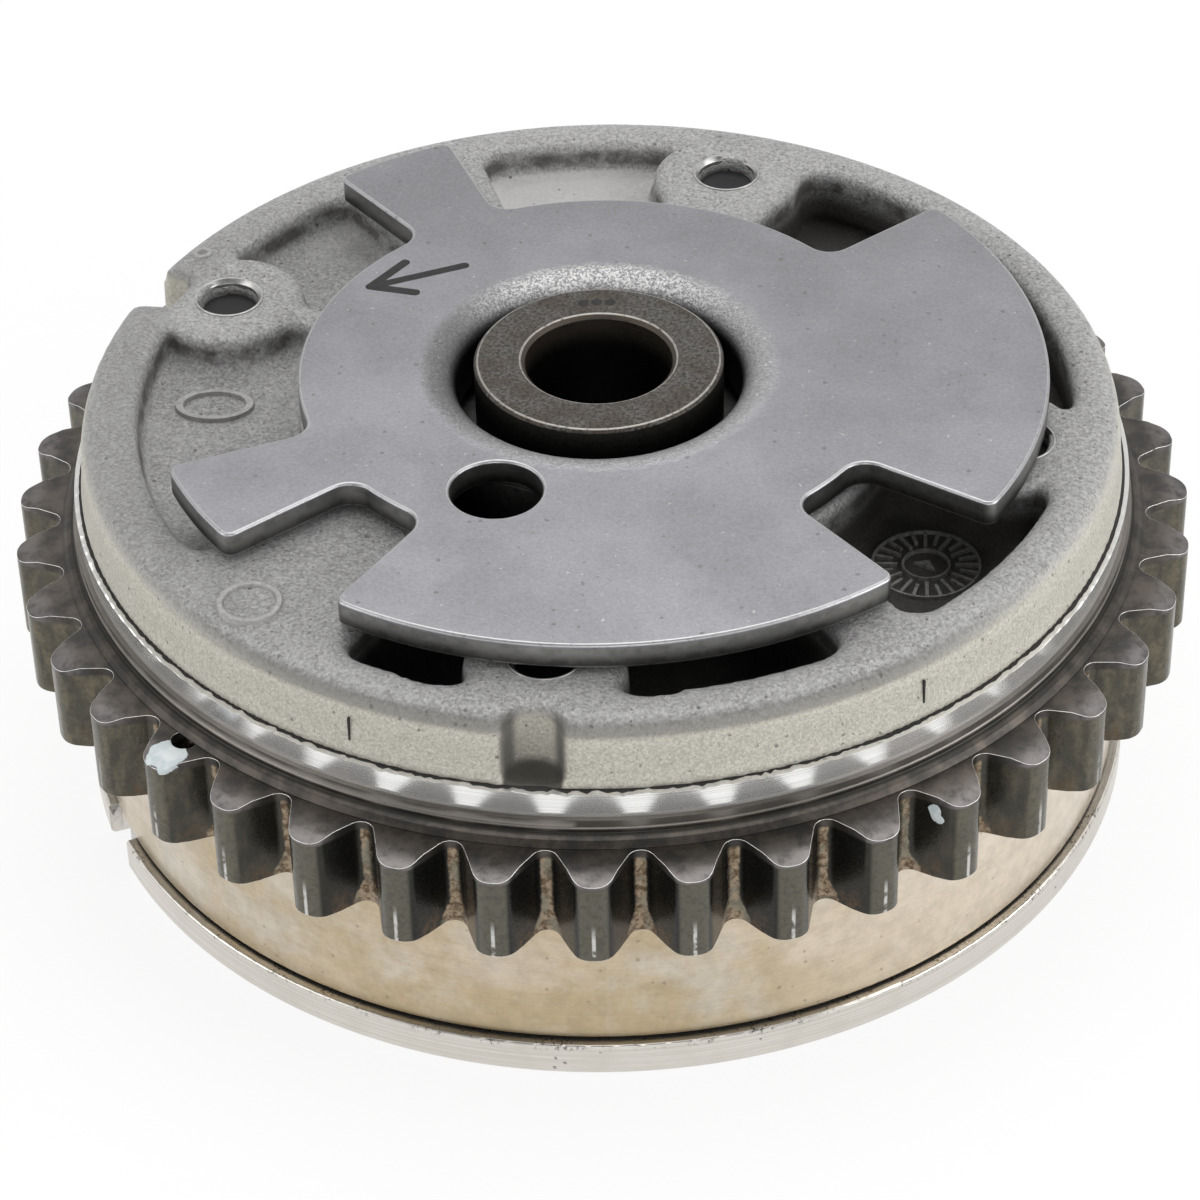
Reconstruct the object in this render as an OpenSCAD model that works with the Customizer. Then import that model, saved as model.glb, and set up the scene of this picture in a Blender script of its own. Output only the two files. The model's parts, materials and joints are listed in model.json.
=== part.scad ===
// Hydraulic cam phaser: chain sprocket on a vane-cell housing, vane rotor inside, trigger wheel in front.
// Millimetres. The axis is +Z towards the nose, the rear face of the rear plate is on z = 0.

/* [Housing] */
// Outer radius of the turned stator drum
drum_r = 48.3; // [44:0.1:60]
// Rear plate rim stands out past the drum by
rim_lip = 0.9; // [0.3:0.1:2]
// Thickness of the rear plate rim
rim_t = 3.4; // [2.5:0.1:5]
// Height of the locating step of the rear plate
step_h = 4; // [3:0.1:6]
// Wall of the drum outside the oil chambers
drum_wall = 6.3; // [5:0.1:9]
// Wall left outside the rear plate step
step_wall = 4.3; // [3:0.1:6]
// Height of the turned drum between rim and sprocket
drum_h = 14.4; // [12:0.1:24]
// Width of each stator shoe in degrees
shoe_deg = 30; // [24:1:32]
// Depth of the dark groove at the foot of the drum
groove_d = 0.7; // [0.3:0.1:1.2]
// Height of the dark groove at the foot of the drum
groove_h = 0.35; // [0.2:0.05:0.8]
// Half width in degrees of the notch in the rim
rim_notch_deg = 3.2; // [2:0.1:5]
// Direction of the notch in the rim
rim_notch_a = 203.5; // [195:0.5:215]
// Radius of the locating dowel in the notch
loc_dowel_r = 1.25; // [0.8:0.05:1.6]
// Distance of the locating dowel inside the drum wall
loc_dowel_edge = 1.6; // [1.4:0.1:2]
// Depth of the locating dowel in the stator
loc_dowel_deep = 5; // [3:0.5:8]
// Clearance of the locating dowel in the rim notch
loc_dowel_c = 0.4; // [0.3:0.05:0.6]

/* [Sprocket] */
// Number of teeth
tooth_count = 40; // [30:2:48]
// Tooth face width
tooth_w = 9; // [6:0.1:11]
// Height of the teeth
tooth_h = 4; // [3:0.1:5]
// Root circle outside the drum radius by
root_step = 1.7; // [1:0.1:3]
// Width of the flat on each tip
tip_flat = 0.5; // [0.2:0.1:1.2]
// Round at the corners of the tips
tip_round = 1.6; // [1:0.1:1.8]
// Root round as a share of the pitch
root_share = 0.15; // [0.1:0.01:0.2]
// Width of the chamfer on the tooth tips
tooth_cham_w = 1.8; // [0.5:0.1:2.5]
// Drop of the chamfer on the tooth tips
tooth_cham_h = 0.5; // [0.2:0.1:1]
// Height of the hub ring in front of the teeth
hub_ring_h = 2.1; // [1:0.1:4]
// Hub ring outside the drum radius by
hub_ring_step = 0.25; // [0.1:0.05:0.6]
// Sprocket seat on the stator inside the drum radius by
seat_step = 3.3; // [2.5:0.1:4]
// Radius of the timing mark hole
mark_r = 1.2; // [0.6:0.1:1.3]
// Depth of the timing mark hole
mark_d = 2.2; // [1:0.1:4]

/* [Front cover] */
// Height of the bright turned land
land_h = 2.4; // [1:0.1:4]
// Land inside the drum radius by
land_step = 0.1; // [0:0.05:0.2]
// Cast wall inside the drum radius by
cast_step = 0.75; // [0.4:0.05:1.5]
// Height of the cast wall above the land
cast_h = 6.9; // [5:0.1:10]
// Thickness of the web under the deep pockets
web_t = 2.6; // [2:0.1:4]
// Depth of the shallow pockets
shallow_d = 3.4; // [2:0.1:4.5]
// Rim width beside the pockets
rim_w = 4.3; // [3.5:0.1:6]
// Radius of the corners of the pockets
pocket_fillet = 2; // [1:0.1:2.5]
// Radius of the boss round each bolt
boss_r = 7.2; // [6:0.1:8]
// Radius of the half-round groove at the front of the rim
rim_groove_r = 2.6; // [1.5:0.1:3.2]
// Width of the flat cut in the rim
rim_flat_w = 6; // [4:0.1:9]
// Depth of the flat cut in the rim
rim_flat_d = 2.6; // [1:0.1:3]
// Height of the ring wall inside the pockets
inner_wall_w = 2; // [1.5:0.1:3]

/* [Bolts] */
// Bolt circle inside the chamber radius by
bolt_inset = 3.6; // [3.4:0.1:4.5]
// Bolt shank radius
bolt_r = 2.5; // [2:0.1:3]
// Bolt head radius
bolt_head_r = 4; // [3.5:0.1:4.5]
// Bolt head height
bolt_head_h = 3.2; // [2.5:0.1:4]
// Bolt socket size across flats
bolt_key = 3; // [2:0.1:3.4]
// Bolt end below the top of the cover by
bolt_short = 1.5; // [1:0.1:3]
// Bolt heads below the rear face by
head_sink = 0.4; // [0.2:0.1:0.8]

/* [Rotor] */
// Hub radius
hub_r = 21; // [19:0.1:24]
// Phase travel in degrees at the camshaft
travel_deg = 25; // [15:1:27]
// Gap in degrees left between vane and shoe at each end
end_gap_deg = 1.4; // [1.2:0.1:3]
// Front journal radius
front_j_r = 17; // [16:0.1:18]
// Rear journal radius
rear_j_r = 20; // [18:0.1:20.4]
// Rear face of the rotor above the rear plate face by
rear_sink = 0.4; // [0.2:0.1:1]
// Camshaft pilot radius
pilot_r = 15; // [13:0.1:16]
// Camshaft pilot depth
pilot_d = 13.6; // [11:0.1:15]
// Radius of the camshaft dowel hole
cam_dowel_r = 1.9; // [1.5:0.1:2.2]
// Depth of the camshaft dowel hole
cam_dowel_d = 5; // [3:0.1:7]
// Radius of the oil drillings
oil_r = 1.1; // [0.8:0.1:1.3]
// Radius of the centre bolt bore
cam_bolt_r = 6.7; // [6:0.1:7.5]
// Chamfer at the mouth of the bolt bore
bolt_chamfer = 0.4; // [0.2:0.1:0.8]
// Outer radius of the sleeve inside the rotor
sleeve_r = 9; // [8.5:0.1:9.5]
// Nose radius
nose_r = 11.3; // [10.5:0.05:11.6]
// Nose stands out of the trigger wheel by
nose_out = 0.6; // [0.4:0.1:4]
// Chamfer on the nose
nose_chamfer = 0.3; // [0.2:0.1:1.2]

/* [Trigger wheel] */
// Plate thickness
wheel_t = 2.5; // [2:0.1:3]
// Radius over the lobes
lobe_r = 40.6; // [36:0.1:42]
// Radius between the lobes
gap_r = 27.2; // [25:0.1:29]
// Width of a narrow lobe in degrees
narrow_deg = 17; // [10:0.5:22]
// Width of a wide lobe in degrees
wide_deg = 71.5; // [66:0.5:76]
// Direction of the first wide lobe's end
lobe_end_a = 39; // [35:0.5:43]
// Round in the corners between the lobes
lobe_fillet = 2.2; // [1:0.1:3]
// Inner radius of the drawn collar
collar_r = 12.9; // [12.5:0.1:13]
// Wall of the drawn collar
collar_t = 1.5; // [1:0.1:1.8]
// Length of the drawn collar below the plate
collar_h = 3.2; // [2:0.1:4]
// Draw radius at the mouth of the collar
draw_r = 2.6; // [1.5:0.1:3]
// Radius of the round hole
peep_r = 4.1; // [3:0.1:4.5]
// Distance of the round hole from the axis
peep_at = 20.8; // [20:0.1:21.5]
// Direction of the round hole
peep_a = 245.5; // [240:0.5:250]

/* [Lock and seals] */
// Lock pin body radius
lock_r = 4.9; // [4:0.1:5.5]
// Lock pin nose radius
lock_nose_r = 4; // [3.4:0.1:4]
// Wall between the lock pin and the groove of the vane seal
lock_wall = 2.88; // [2:0.01:4]
// Wall of the hollow lock pin
lock_skin = 1.5; // [1.2:0.1:2]
// Floor of the hollow lock pin above its step
lock_floor = 2; // [1.5:0.1:3]
// Depth of the lock seat
lock_seat_t = 3; // [2.5:0.1:3.5]
// Wall of the lock seat
lock_seat_w = 1.4; // [1:0.1:1.8]
// Seal strip width
seal_w = 2; // [1.5:0.1:2.5]
// Seal strip height
seal_h = 2.4; // [2:0.1:3]
// Leaf spring thickness
leaf_t = 0.25; // [0.15:0.05:0.4]
// Leaf spring bow radius
leaf_bow = 62; // [50:1:90]

/* [Fits] */
// Running clearance of the journals on the radius
run_c = 0.05; // [0.02:0.01:0.09]
// Clearance of the rotor at each end face
face_c = 0.05; // [0.03:0.01:0.1]
// Clearance at the vane tips and shoe tips
tip_c = 0.35; // [0.3:0.05:0.5]
// Clearance of bolts in the stator and rear plate
bolt_c = 0.25; // [0.15:0.05:0.4]
// Clearance of the bolt in its thread
thread_c = 0.04; // [0.02:0.01:0.1]
// Gap between cover and trigger wheel
wheel_c = 0.5; // [0.35:0.05:1]
// Locating clearance of the rear plate step
loc_c = 0.03; // [0.02:0.01:0.1]
// Clearance of the seals in their grooves
seal_c = 0.04; // [0.02:0.01:0.1]

/* [Hidden] */
$fn = 96;
// Bolt directions: three even cells and one wide cell that takes the lock pin
cell_deg = 84;
bolt_a = [72, 156, 264, 348];
cell_mid = [30, 114, 210, 306];
cell_span = [cell_deg, cell_deg, 360 - 3 * cell_deg, cell_deg];
// Heights
step_z = rim_t + step_h;
tooth_z = rim_t + drum_h;
ring_z = tooth_z + tooth_w;
cover_z = ring_z + hub_ring_h;
cast_z = cover_z + land_h;
top_z = cast_z + cast_h;
web_z = cover_z + web_t;
plate_z = top_z + wheel_c;
wheel_z = plate_z + wheel_t;
nose_z = wheel_z + nose_out;
rot_z0 = step_z + face_c;
rot_z1 = cover_z - face_c;
collar_z = plate_z - collar_h;
nose_seat_z = collar_z - 2;
pilot_z = rear_sink + pilot_d;
// Radii
rim_r = drum_r + rim_lip;
chamber_r = drum_r - drum_wall;
step_r = drum_r - step_wall;
seat_r = drum_r - seat_step;
root_r = drum_r + root_step;
tip_r = root_r + tooth_h;
hub_ring_r = drum_r + hub_ring_step;
land_r = drum_r - land_step;
cast_r = drum_r - cast_step;
bolt_at = chamber_r - bolt_inset;
loc_dowel_at = drum_r - loc_dowel_edge;
shoe_r = hub_r + tip_c;
vane_r = chamber_r - tip_c;
pocket_ro = cast_r - rim_w;
bearing_wall = 3;
recess_r = 25.3;
pocket_ri = recess_r + inner_wall_w;
root_fillet = root_share * 2 * PI * root_r / tooth_count;
tip_a = tip_flat / tip_r * 90 / PI;
// Lock pin and seals
lock_a = cell_mid[2] + travel_deg / 2;
lock_cap_t = 3;
lock_step_h = 2.6;
lock_len = 11;
lock_up = 0.35;
lock_nose_c = 0.15;
lock_wire = 0.45;
lock_wire_c = 0.2;
leaf_len = 16;
leaf_half = asin(leaf_len / 2 / leaf_bow);
leaf_rise = leaf_bow * (1 - cos(leaf_half)) + leaf_t;
groove_deep = seal_h + leaf_rise + tip_c - run_c;
lock_at = chamber_r - run_c - seal_h - leaf_rise - lock_wall - lock_r;
eps = 0.5;

function polar(r, a) = [r * cos(a), r * sin(a)];
function arc(c, r, a0, a1, n) =
    [for (i = [0 : n]) c + polar(r, a0 + (a1 - a0) * i / n)];
function turn(p, a) = [p[0] * cos(a) - p[1] * sin(a), p[0] * sin(a) + p[1] * cos(a)];

// Outline of an annular pocket with rounded corners
function pocket_line(ri, ro, a0, a1, f) =
    let (ao = asin(f / (ro - f)), ai = asin(f / (ri + f)), n = max(3, ceil((a1 - a0) / 4)))
    concat(
        arc([0, 0], ro, a0 + ao, a1 - ao, n),
        arc(polar(ro - f, a1 - ao), f, a1 - ao + 15, a1 + 90, 4),
        arc(polar(ri + f, a1 - ai), f, a1 + 90, a1 - ai + 165, 4),
        arc([0, 0], ri, a1 - ai, a0 + ai, n),
        arc(polar(ri + f, a0 + ai), f, a0 + ai + 195, a0 + 270, 4),
        arc(polar(ro - f, a0 + ao), f, a0 + 270, a0 + ao + 345, 4));

// Outline of one gap between two lobes of the trigger wheel
function gap_line(a0, a1) =
    let (o = asin(lobe_fillet / (gap_r + lobe_fillet)), n = max(3, ceil((a1 - a0) / 4)))
    concat(
        [polar(lobe_r + 4, a0)],
        arc(polar(gap_r + lobe_fillet, a0 + o), lobe_fillet, a0 - 90, a0 + o - 170, 5),
        arc([0, 0], gap_r, a0 + o, a1 - o, n),
        arc(polar(gap_r + lobe_fillet, a1 - o), lobe_fillet, a1 - o + 170, a1 + 90, 5),
        [polar(lobe_r + 4, a1)]);

// Outline of one tooth and the gap after it: flat tip with round corners, straight flank, round root
function tooth_line() =
    let (half = 180 / tooth_count,
         c0 = polar(tip_r - tip_round, -tip_a),
         c1 = polar(tip_r - tip_round, tip_a),
         c2 = polar(root_r + root_fillet, half),
         d = c2 - c1,
         n = atan2(d[1], d[0]) - acos((tip_round + root_fillet) / norm(d)))
    concat(
        arc(c0, tip_round, -n, -tip_a, 5),
        arc(c1, tip_round, tip_a, n, 5),
        arc(c2, root_fillet, n + 180, 2 * half + 180 - n, 8));

// Plain annular sector
module sector(ri, ro, z0, z1, a0, a1) {
    rotate([0, 0, a0])
        rotate_extrude(angle = a1 - a0)
            translate([ri, z0])
                square([ro - ri, z1 - z0]);
}

// Upright round bar between two heights
module bar(r, z0, z1) {
    translate([0, 0, z0])
        cylinder(r = r, h = z1 - z0);
}

// Places its children at a radius and a direction
module at(r, a) {
    rotate([0, 0, a])
        translate([r, 0, 0])
            children();
}

module rear_plate() {
    color([0.80, 0.80, 0.78])
    difference() {
        rotate_extrude()
            polygon([
                [rear_j_r + run_c, 0], [rim_r - 0.4, 0], [rim_r, 0.4], [rim_r, rim_t - 0.2],
                [rim_r - 0.2, rim_t], [step_r - loc_c, rim_t], [step_r - loc_c, step_z],
                [rear_j_r + run_c, step_z]]);
        for (a = bolt_a) {
            at(bolt_at, a) bar(bolt_r + bolt_c, -eps, step_z + eps);
            at(bolt_at, a) bar(bolt_head_r + bolt_c, -eps, head_sink + bolt_head_h);
        }
        at(lock_at, lock_a) bar(lock_r + lock_seat_w, step_z - lock_seat_t, step_z + eps);
        at(lock_at, lock_a) bar(1.2, -eps, step_z + eps);
        sector(loc_dowel_at - loc_dowel_r - loc_dowel_c, rim_r + 1, -eps, rim_t + eps,
            rim_notch_a - rim_notch_deg, rim_notch_a + rim_notch_deg);
    }
}

module lock_seat() {
    color([0.45, 0.45, 0.47])
    at(lock_at, lock_a)
    difference() {
        bar(lock_r + lock_seat_w, step_z - lock_seat_t, step_z);
        bar(lock_nose_r + lock_nose_c, step_z - lock_seat_t - eps, step_z + eps);
    }
}

module locating_dowel() {
    color([0.70, 0.70, 0.70])
    at(loc_dowel_at, rim_notch_a)
    bar(loc_dowel_r, 0.8, rim_t + loc_dowel_deep);
}

module stator() {
    color([0.66, 0.60, 0.50])
    difference() {
        rotate_extrude()
            polygon([
                [shoe_r, step_z], [step_r, step_z], [step_r, rim_t], [drum_r - groove_d, rim_t],
                [drum_r - groove_d, rim_t + groove_h], [drum_r, rim_t + groove_h], [drum_r, tooth_z],
                [seat_r, tooth_z], [seat_r, cover_z], [shoe_r, cover_z]]);
        for (i = [0 : 3])
            sector(shoe_r - 2, chamber_r, step_z - eps, cover_z + eps,
                cell_mid[i] - (cell_span[i] - shoe_deg) / 2,
                cell_mid[i] + (cell_span[i] - shoe_deg) / 2);
        for (a = bolt_a)
            at(bolt_at, a) bar(bolt_r + bolt_c, step_z - eps, cover_z + eps);
        for (a = bolt_a)
            rotate([0, 0, a])
                translate([shoe_r - 1, -seal_w / 2 - seal_c, step_z - eps])
                    cube([1 + groove_deep - tip_c + run_c, seal_w + 2 * seal_c, cover_z - step_z + 2 * eps]);
        at(loc_dowel_at, rim_notch_a) bar(loc_dowel_r, rim_t - eps, rim_t + loc_dowel_deep);
    }
}

module sprocket() {
    color([0.34, 0.30, 0.27])
    difference() {
        union() {
            intersection() {
                rotate_extrude()
                    polygon([
                        [seat_r - 1, tooth_z], [tip_r - tooth_cham_w, tooth_z],
                        [tip_r + 1, tooth_z + tooth_cham_h * (1 + 1 / tooth_cham_w) / 2],
                        [tip_r + 1, ring_z - tooth_cham_h * (1 + 1 / tooth_cham_w)],
                        [tip_r - tooth_cham_w, ring_z], [seat_r - 1, ring_z]]);
                translate([0, 0, tooth_z - eps])
                    linear_extrude(height = tooth_w + 2 * eps)
                        polygon([for (k = [0 : tooth_count - 1]) for (p = tooth_line())
                            turn(p, k * 360 / tooth_count)]);
            }
            bar(hub_ring_r, tooth_z + 1, cover_z);
        }
        bar(seat_r, tooth_z - eps, cover_z + eps);
        at(root_r + 0.1, 225) bar(mark_r, ring_z - mark_d, ring_z + eps);
    }
}

module front_cover() {
    color([0.70, 0.70, 0.68])
    difference() {
        rotate_extrude()
            polygon([
                [front_j_r + run_c, cover_z], [land_r, cover_z], [land_r, cast_z],
                [cast_r, cast_z], [cast_r - 0.35, top_z - 2.2], [cast_r - 0.6, top_z - 1.2],
                [cast_r - 1.2, top_z - 0.4], [cast_r - 2.1, top_z], [recess_r, top_z],
                [recess_r, web_z], [front_j_r + run_c + bearing_wall, web_z],
                [front_j_r + run_c + bearing_wall, web_z + 3], [front_j_r + run_c, web_z + 3]]);
        difference() {
            union() {
                translate([0, 0, top_z - shallow_d]) linear_extrude(height = shallow_d + eps)
                    polygon(pocket_line(pocket_ri, pocket_ro - 0.4, 158, 214, pocket_fillet));
                translate([0, 0, top_z - shallow_d]) linear_extrude(height = shallow_d + eps)
                    polygon(pocket_line(pocket_ri, pocket_ro - 0.4, 127, 152, pocket_fillet));
                translate([0, 0, top_z - shallow_d]) linear_extrude(height = shallow_d + eps)
                    polygon(pocket_line(pocket_ri, pocket_ro, 80, 107, pocket_fillet));
                translate([0, 0, web_z]) linear_extrude(height = top_z - web_z + eps)
                    polygon(pocket_line(pocket_ri, pocket_ro + 0.5, -5, 62, pocket_fillet));
                translate([0, 0, web_z]) linear_extrude(height = top_z - web_z + eps)
                    polygon(pocket_line(pocket_ri, pocket_ro + 0.5, -50.5, -20, pocket_fillet));
                translate([0, 0, web_z]) linear_extrude(height = top_z - web_z + eps)
                    polygon(pocket_line(pocket_ri, pocket_ro + 0.4, -87, -60, pocket_fillet));
                translate([0, 0, web_z]) linear_extrude(height = top_z - web_z + eps)
                    polygon(pocket_line(pocket_ri, pocket_ro + 0.5, -120, -104, pocket_fillet));
            }
            for (a = bolt_a)
                at(bolt_at, a) bar(boss_r, cover_z, top_z + 2 * eps);
        }
        for (a = bolt_a) {
            at(bolt_at, a) bar(bolt_r + thread_c, cover_z - eps, top_z + eps);
            at(bolt_at, a) bar(bolt_r + bolt_c, top_z - bolt_short - 0.4, top_z + eps);
        }
        at(cast_r - 0.6, bolt_a[2]) bar(rim_groove_r, cast_z + 0.2, top_z + eps);
        rotate([0, 0, bolt_a[1] + 1])
            translate([cast_r - rim_flat_d - 0.9, -rim_flat_w / 2, cast_z + 0.8])
                cube([10, rim_flat_w, cast_h]);
    }
}

module housing_bolts() {
    color([0.22, 0.23, 0.26])
    for (a = bolt_a)
        at(bolt_at, a)
            difference() {
                union() {
                    bar(bolt_r, head_sink + 1, top_z - bolt_short);
                    bar(bolt_head_r, head_sink, head_sink + bolt_head_h);
                }
                translate([0, 0, head_sink - eps])
                    cylinder(d = bolt_key / cos(30), h = 1.8 + eps, $fn = 6);
            }
}

// Width of one vane in degrees
function vane_deg(i) = cell_span[i] - shoe_deg - travel_deg - 2 * end_gap_deg;
// Middle, end and start of one vane at rest; vane 4 is vane 0 after a full turn
function vane_mid(i) = (i < 4 ? cell_mid[i] : cell_mid[i - 4] + 360) + travel_deg / 2;
function vane_end(i) = vane_mid(i) + vane_deg(i % 4) / 2;
function vane_start(i) = vane_mid(i) - vane_deg(i % 4) / 2;

module rotor() {
    color([0.55, 0.53, 0.50])
    difference() {
        rotate_extrude()
            polygon([
                [sleeve_r, pilot_z], [pilot_r, pilot_z], [pilot_r, rear_sink], [rear_j_r, rear_sink],
                [rear_j_r, rot_z0], [vane_r, rot_z0], [vane_r, rot_z1], [front_j_r, rot_z1],
                [front_j_r, plate_z], [collar_r + collar_t, plate_z],
                [collar_r + collar_t, nose_seat_z], [sleeve_r, nose_seat_z]]);
        for (i = [0 : 3])
            sector(hub_r, vane_r + 2, rot_z0 - eps, rot_z1 + eps, vane_end(i), vane_start(i + 1));
        for (a = cell_mid)
            rotate([0, 0, a + travel_deg / 2])
                translate([vane_r - groove_deep + tip_c - run_c, -seal_w / 2 - seal_c, rot_z0 - eps])
                    cube([groove_deep + 1, seal_w + 2 * seal_c, rot_z1 - rot_z0 + 2 * eps]);
        at(lock_at, lock_a) bar(lock_r + run_c, rot_z0 - eps, rot_z1 + eps);
        for (a = [cell_mid[0], cell_mid[1], cell_mid[3]]) {
            rotate([0, 0, a + travel_deg / 2 - vane_deg(0) / 2 - 6]) translate([0, 0, rot_z0 + 2])
                rotate([0, 90, 0]) translate([0, 0, pilot_r - 1])
                    cylinder(r = oil_r, h = hub_r - pilot_r + 3);
            rotate([0, 0, a + travel_deg / 2 + vane_deg(0) / 2 + 6]) translate([0, 0, pilot_z - 1.8])
                rotate([0, 90, 0]) translate([0, 0, pilot_r - 1])
                    cylinder(r = oil_r, h = hub_r - pilot_r + 3);
        }
        at((sleeve_r + pilot_r) / 2, lock_a) bar(cam_dowel_r, pilot_z - eps, pilot_z + cam_dowel_d);
    }
}

module nose_bushing() {
    color([0.36, 0.35, 0.34])
    rotate_extrude()
        polygon([
            [cam_bolt_r, pilot_z], [sleeve_r, pilot_z], [sleeve_r, nose_seat_z], [nose_r, nose_seat_z],
            [nose_r, nose_z - nose_chamfer], [nose_r - nose_chamfer, nose_z],
            [cam_bolt_r + bolt_chamfer, nose_z], [cam_bolt_r, nose_z - bolt_chamfer]]);
}

module trigger_wheel() {
    lobe_end = [lobe_end_a, lobe_end_a + 90, lobe_end_a + 180, lobe_end_a + 270];
    lobe_deg = [wide_deg, narrow_deg, narrow_deg, wide_deg];
    color([0.62, 0.62, 0.64])
    difference() {
        union() {
            intersection() {
                bar(lobe_r, plate_z, wheel_z);
                translate([0, 0, plate_z - eps])
                    linear_extrude(height = wheel_t + 2 * eps)
                        polygon([for (i = [0 : 3])
                            let (b0 = lobe_end[i],
                                 b1 = lobe_end[i] + 90 - lobe_deg[(i + 1) % 4],
                                 b2 = lobe_end[i] + 90)
                            for (p = concat(gap_line(b0, b1), [for (j = [1 : 4])
                                polar(lobe_r + 4, b1 + (b2 - b1) * j / 5)])) p]);
            }
            bar(collar_r + collar_t, collar_z, plate_z + 1);
        }
        rotate_extrude()
            polygon(concat(
                [[0, collar_z - eps], [collar_r, collar_z - eps]],
                [for (k = [0 : 6])
                    [collar_r + draw_r * (1 - cos(k * 15)), wheel_z - draw_r + draw_r * sin(k * 15)]],
                [[collar_r + draw_r, wheel_z + eps], [0, wheel_z + eps]]));
        at(peep_at, peep_a) bar(peep_r, plate_z - eps, wheel_z + eps);
    }
}

module lock_pin() {
    color([0.50, 0.50, 0.52])
    at(lock_at, lock_a)
    difference() {
        union() {
            bar(lock_nose_r, rot_z0 + lock_up, rot_z0 + lock_up + lock_step_h);
            bar(lock_r, rot_z0 + lock_up + lock_step_h, rot_z0 + lock_up + lock_len);
        }
        bar(lock_r - lock_skin, rot_z0 + lock_step_h + lock_floor, rot_z0 + lock_len + eps);
    }
}

// Closed coil as a tube swept along a screw line
module coil(r, wire, h, turns) {
    s = 14;
    n = turns * s;
    m = 8;
    pts = [for (i = [0 : n]) for (j = [0 : m - 1])
        let (a = 360 * i / s, q = r + wire * cos(360 * j / m))
        [q * cos(a), q * sin(a), wire + (h - 2 * wire) * i / n + wire * sin(360 * j / m)]];
    sides = [for (i = [0 : n - 1]) for (j = [0 : m - 1])
        [i * m + j, i * m + (j + 1) % m, (i + 1) * m + (j + 1) % m, (i + 1) * m + j]];
    polyhedron(pts, concat(sides, [[for (j = [m - 1 : -1 : 0]) j]], [[for (j = [0 : m - 1]) n * m + j]]));
}

module lock_spring() {
    color([0.72, 0.72, 0.70])
    at(lock_at, lock_a)
    translate([0, 0, rot_z0 + lock_step_h + lock_floor])
    coil(lock_r - lock_skin - lock_wire - lock_wire_c, lock_wire,
        rot_z1 - lock_cap_t - rot_z0 - lock_step_h - lock_floor, 6);
}

module lock_pin_cap() {
    color([0.48, 0.48, 0.48])
    at(lock_at, lock_a)
    difference() {
        bar(lock_r + run_c, rot_z1 - lock_cap_t, rot_z1);
        bar(1, rot_z1 - lock_cap_t - eps, rot_z1 + eps);
    }
}

// Seal strip with its inner face at radius r
module seal_strip(r) {
    translate([r, -seal_w / 2, rot_z0])
        cube([seal_h, seal_w, rot_z1 - rot_z0]);
}

// Bowed leaf whose ends stand at radius r, bowing outwards or inwards
module leaf(r, outwards) {
    mid = (rot_z0 + rot_z1) / 2;
    x = outwards ? r + leaf_rise - leaf_bow : r + leaf_bow;
    translate([x, seal_w / 2 - 0.2, mid])
        rotate([90, 0, 0])
            rotate([0, 0, outwards ? -leaf_half : 180 - leaf_half])
                rotate_extrude(angle = 2 * leaf_half, $fn = 360)
                    translate([leaf_bow - leaf_t, 0])
                        square([leaf_t, seal_w - 0.4]);
}

module vane_seals() {
    color([0.16, 0.15, 0.14])
    for (a = cell_mid)
        rotate([0, 0, a + travel_deg / 2])
            seal_strip(chamber_r - run_c - seal_h);
}

module vane_seal_springs() {
    color([0.75, 0.75, 0.73])
    for (a = cell_mid)
        rotate([0, 0, a + travel_deg / 2])
            leaf(chamber_r - run_c - seal_h - leaf_rise, true);
}

module shoe_seals() {
    color([0.16, 0.15, 0.14])
    for (a = bolt_a)
        rotate([0, 0, a])
            seal_strip(hub_r + run_c);
}

module shoe_seal_springs() {
    color([0.75, 0.75, 0.73])
    for (a = bolt_a)
        rotate([0, 0, a])
            leaf(hub_r + run_c + seal_h, false);
}

rear_plate();
lock_seat();
locating_dowel();
stator();
sprocket();
front_cover();
housing_bolts();
rotor();
nose_bushing();
trigger_wheel();
lock_pin();
lock_spring();
lock_pin_cap();
vane_seals();
vane_seal_springs();
shoe_seals();
shoe_seal_springs();
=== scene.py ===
"""Dresses a hydraulic cam phaser: chain sprocket, cast front cover, trigger wheel and nose.

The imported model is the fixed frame. Lengths are in millimetres until a piece is finished, and the
axis of the phaser is +Z, with the rear face on z = 0.
"""

import json
import logging
import math
from dataclasses import dataclass
from enum import Enum
from typing import Callable, Optional, Sequence

import bmesh
import bpy
from bmesh.types import BMEdge, BMesh, BMFace, BMVert
from bpy.types import Material, Node, NodeTree, Object, Scene
from mathutils import Matrix, Vector, noise
from mathutils.bvhtree import BVHTree

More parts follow.
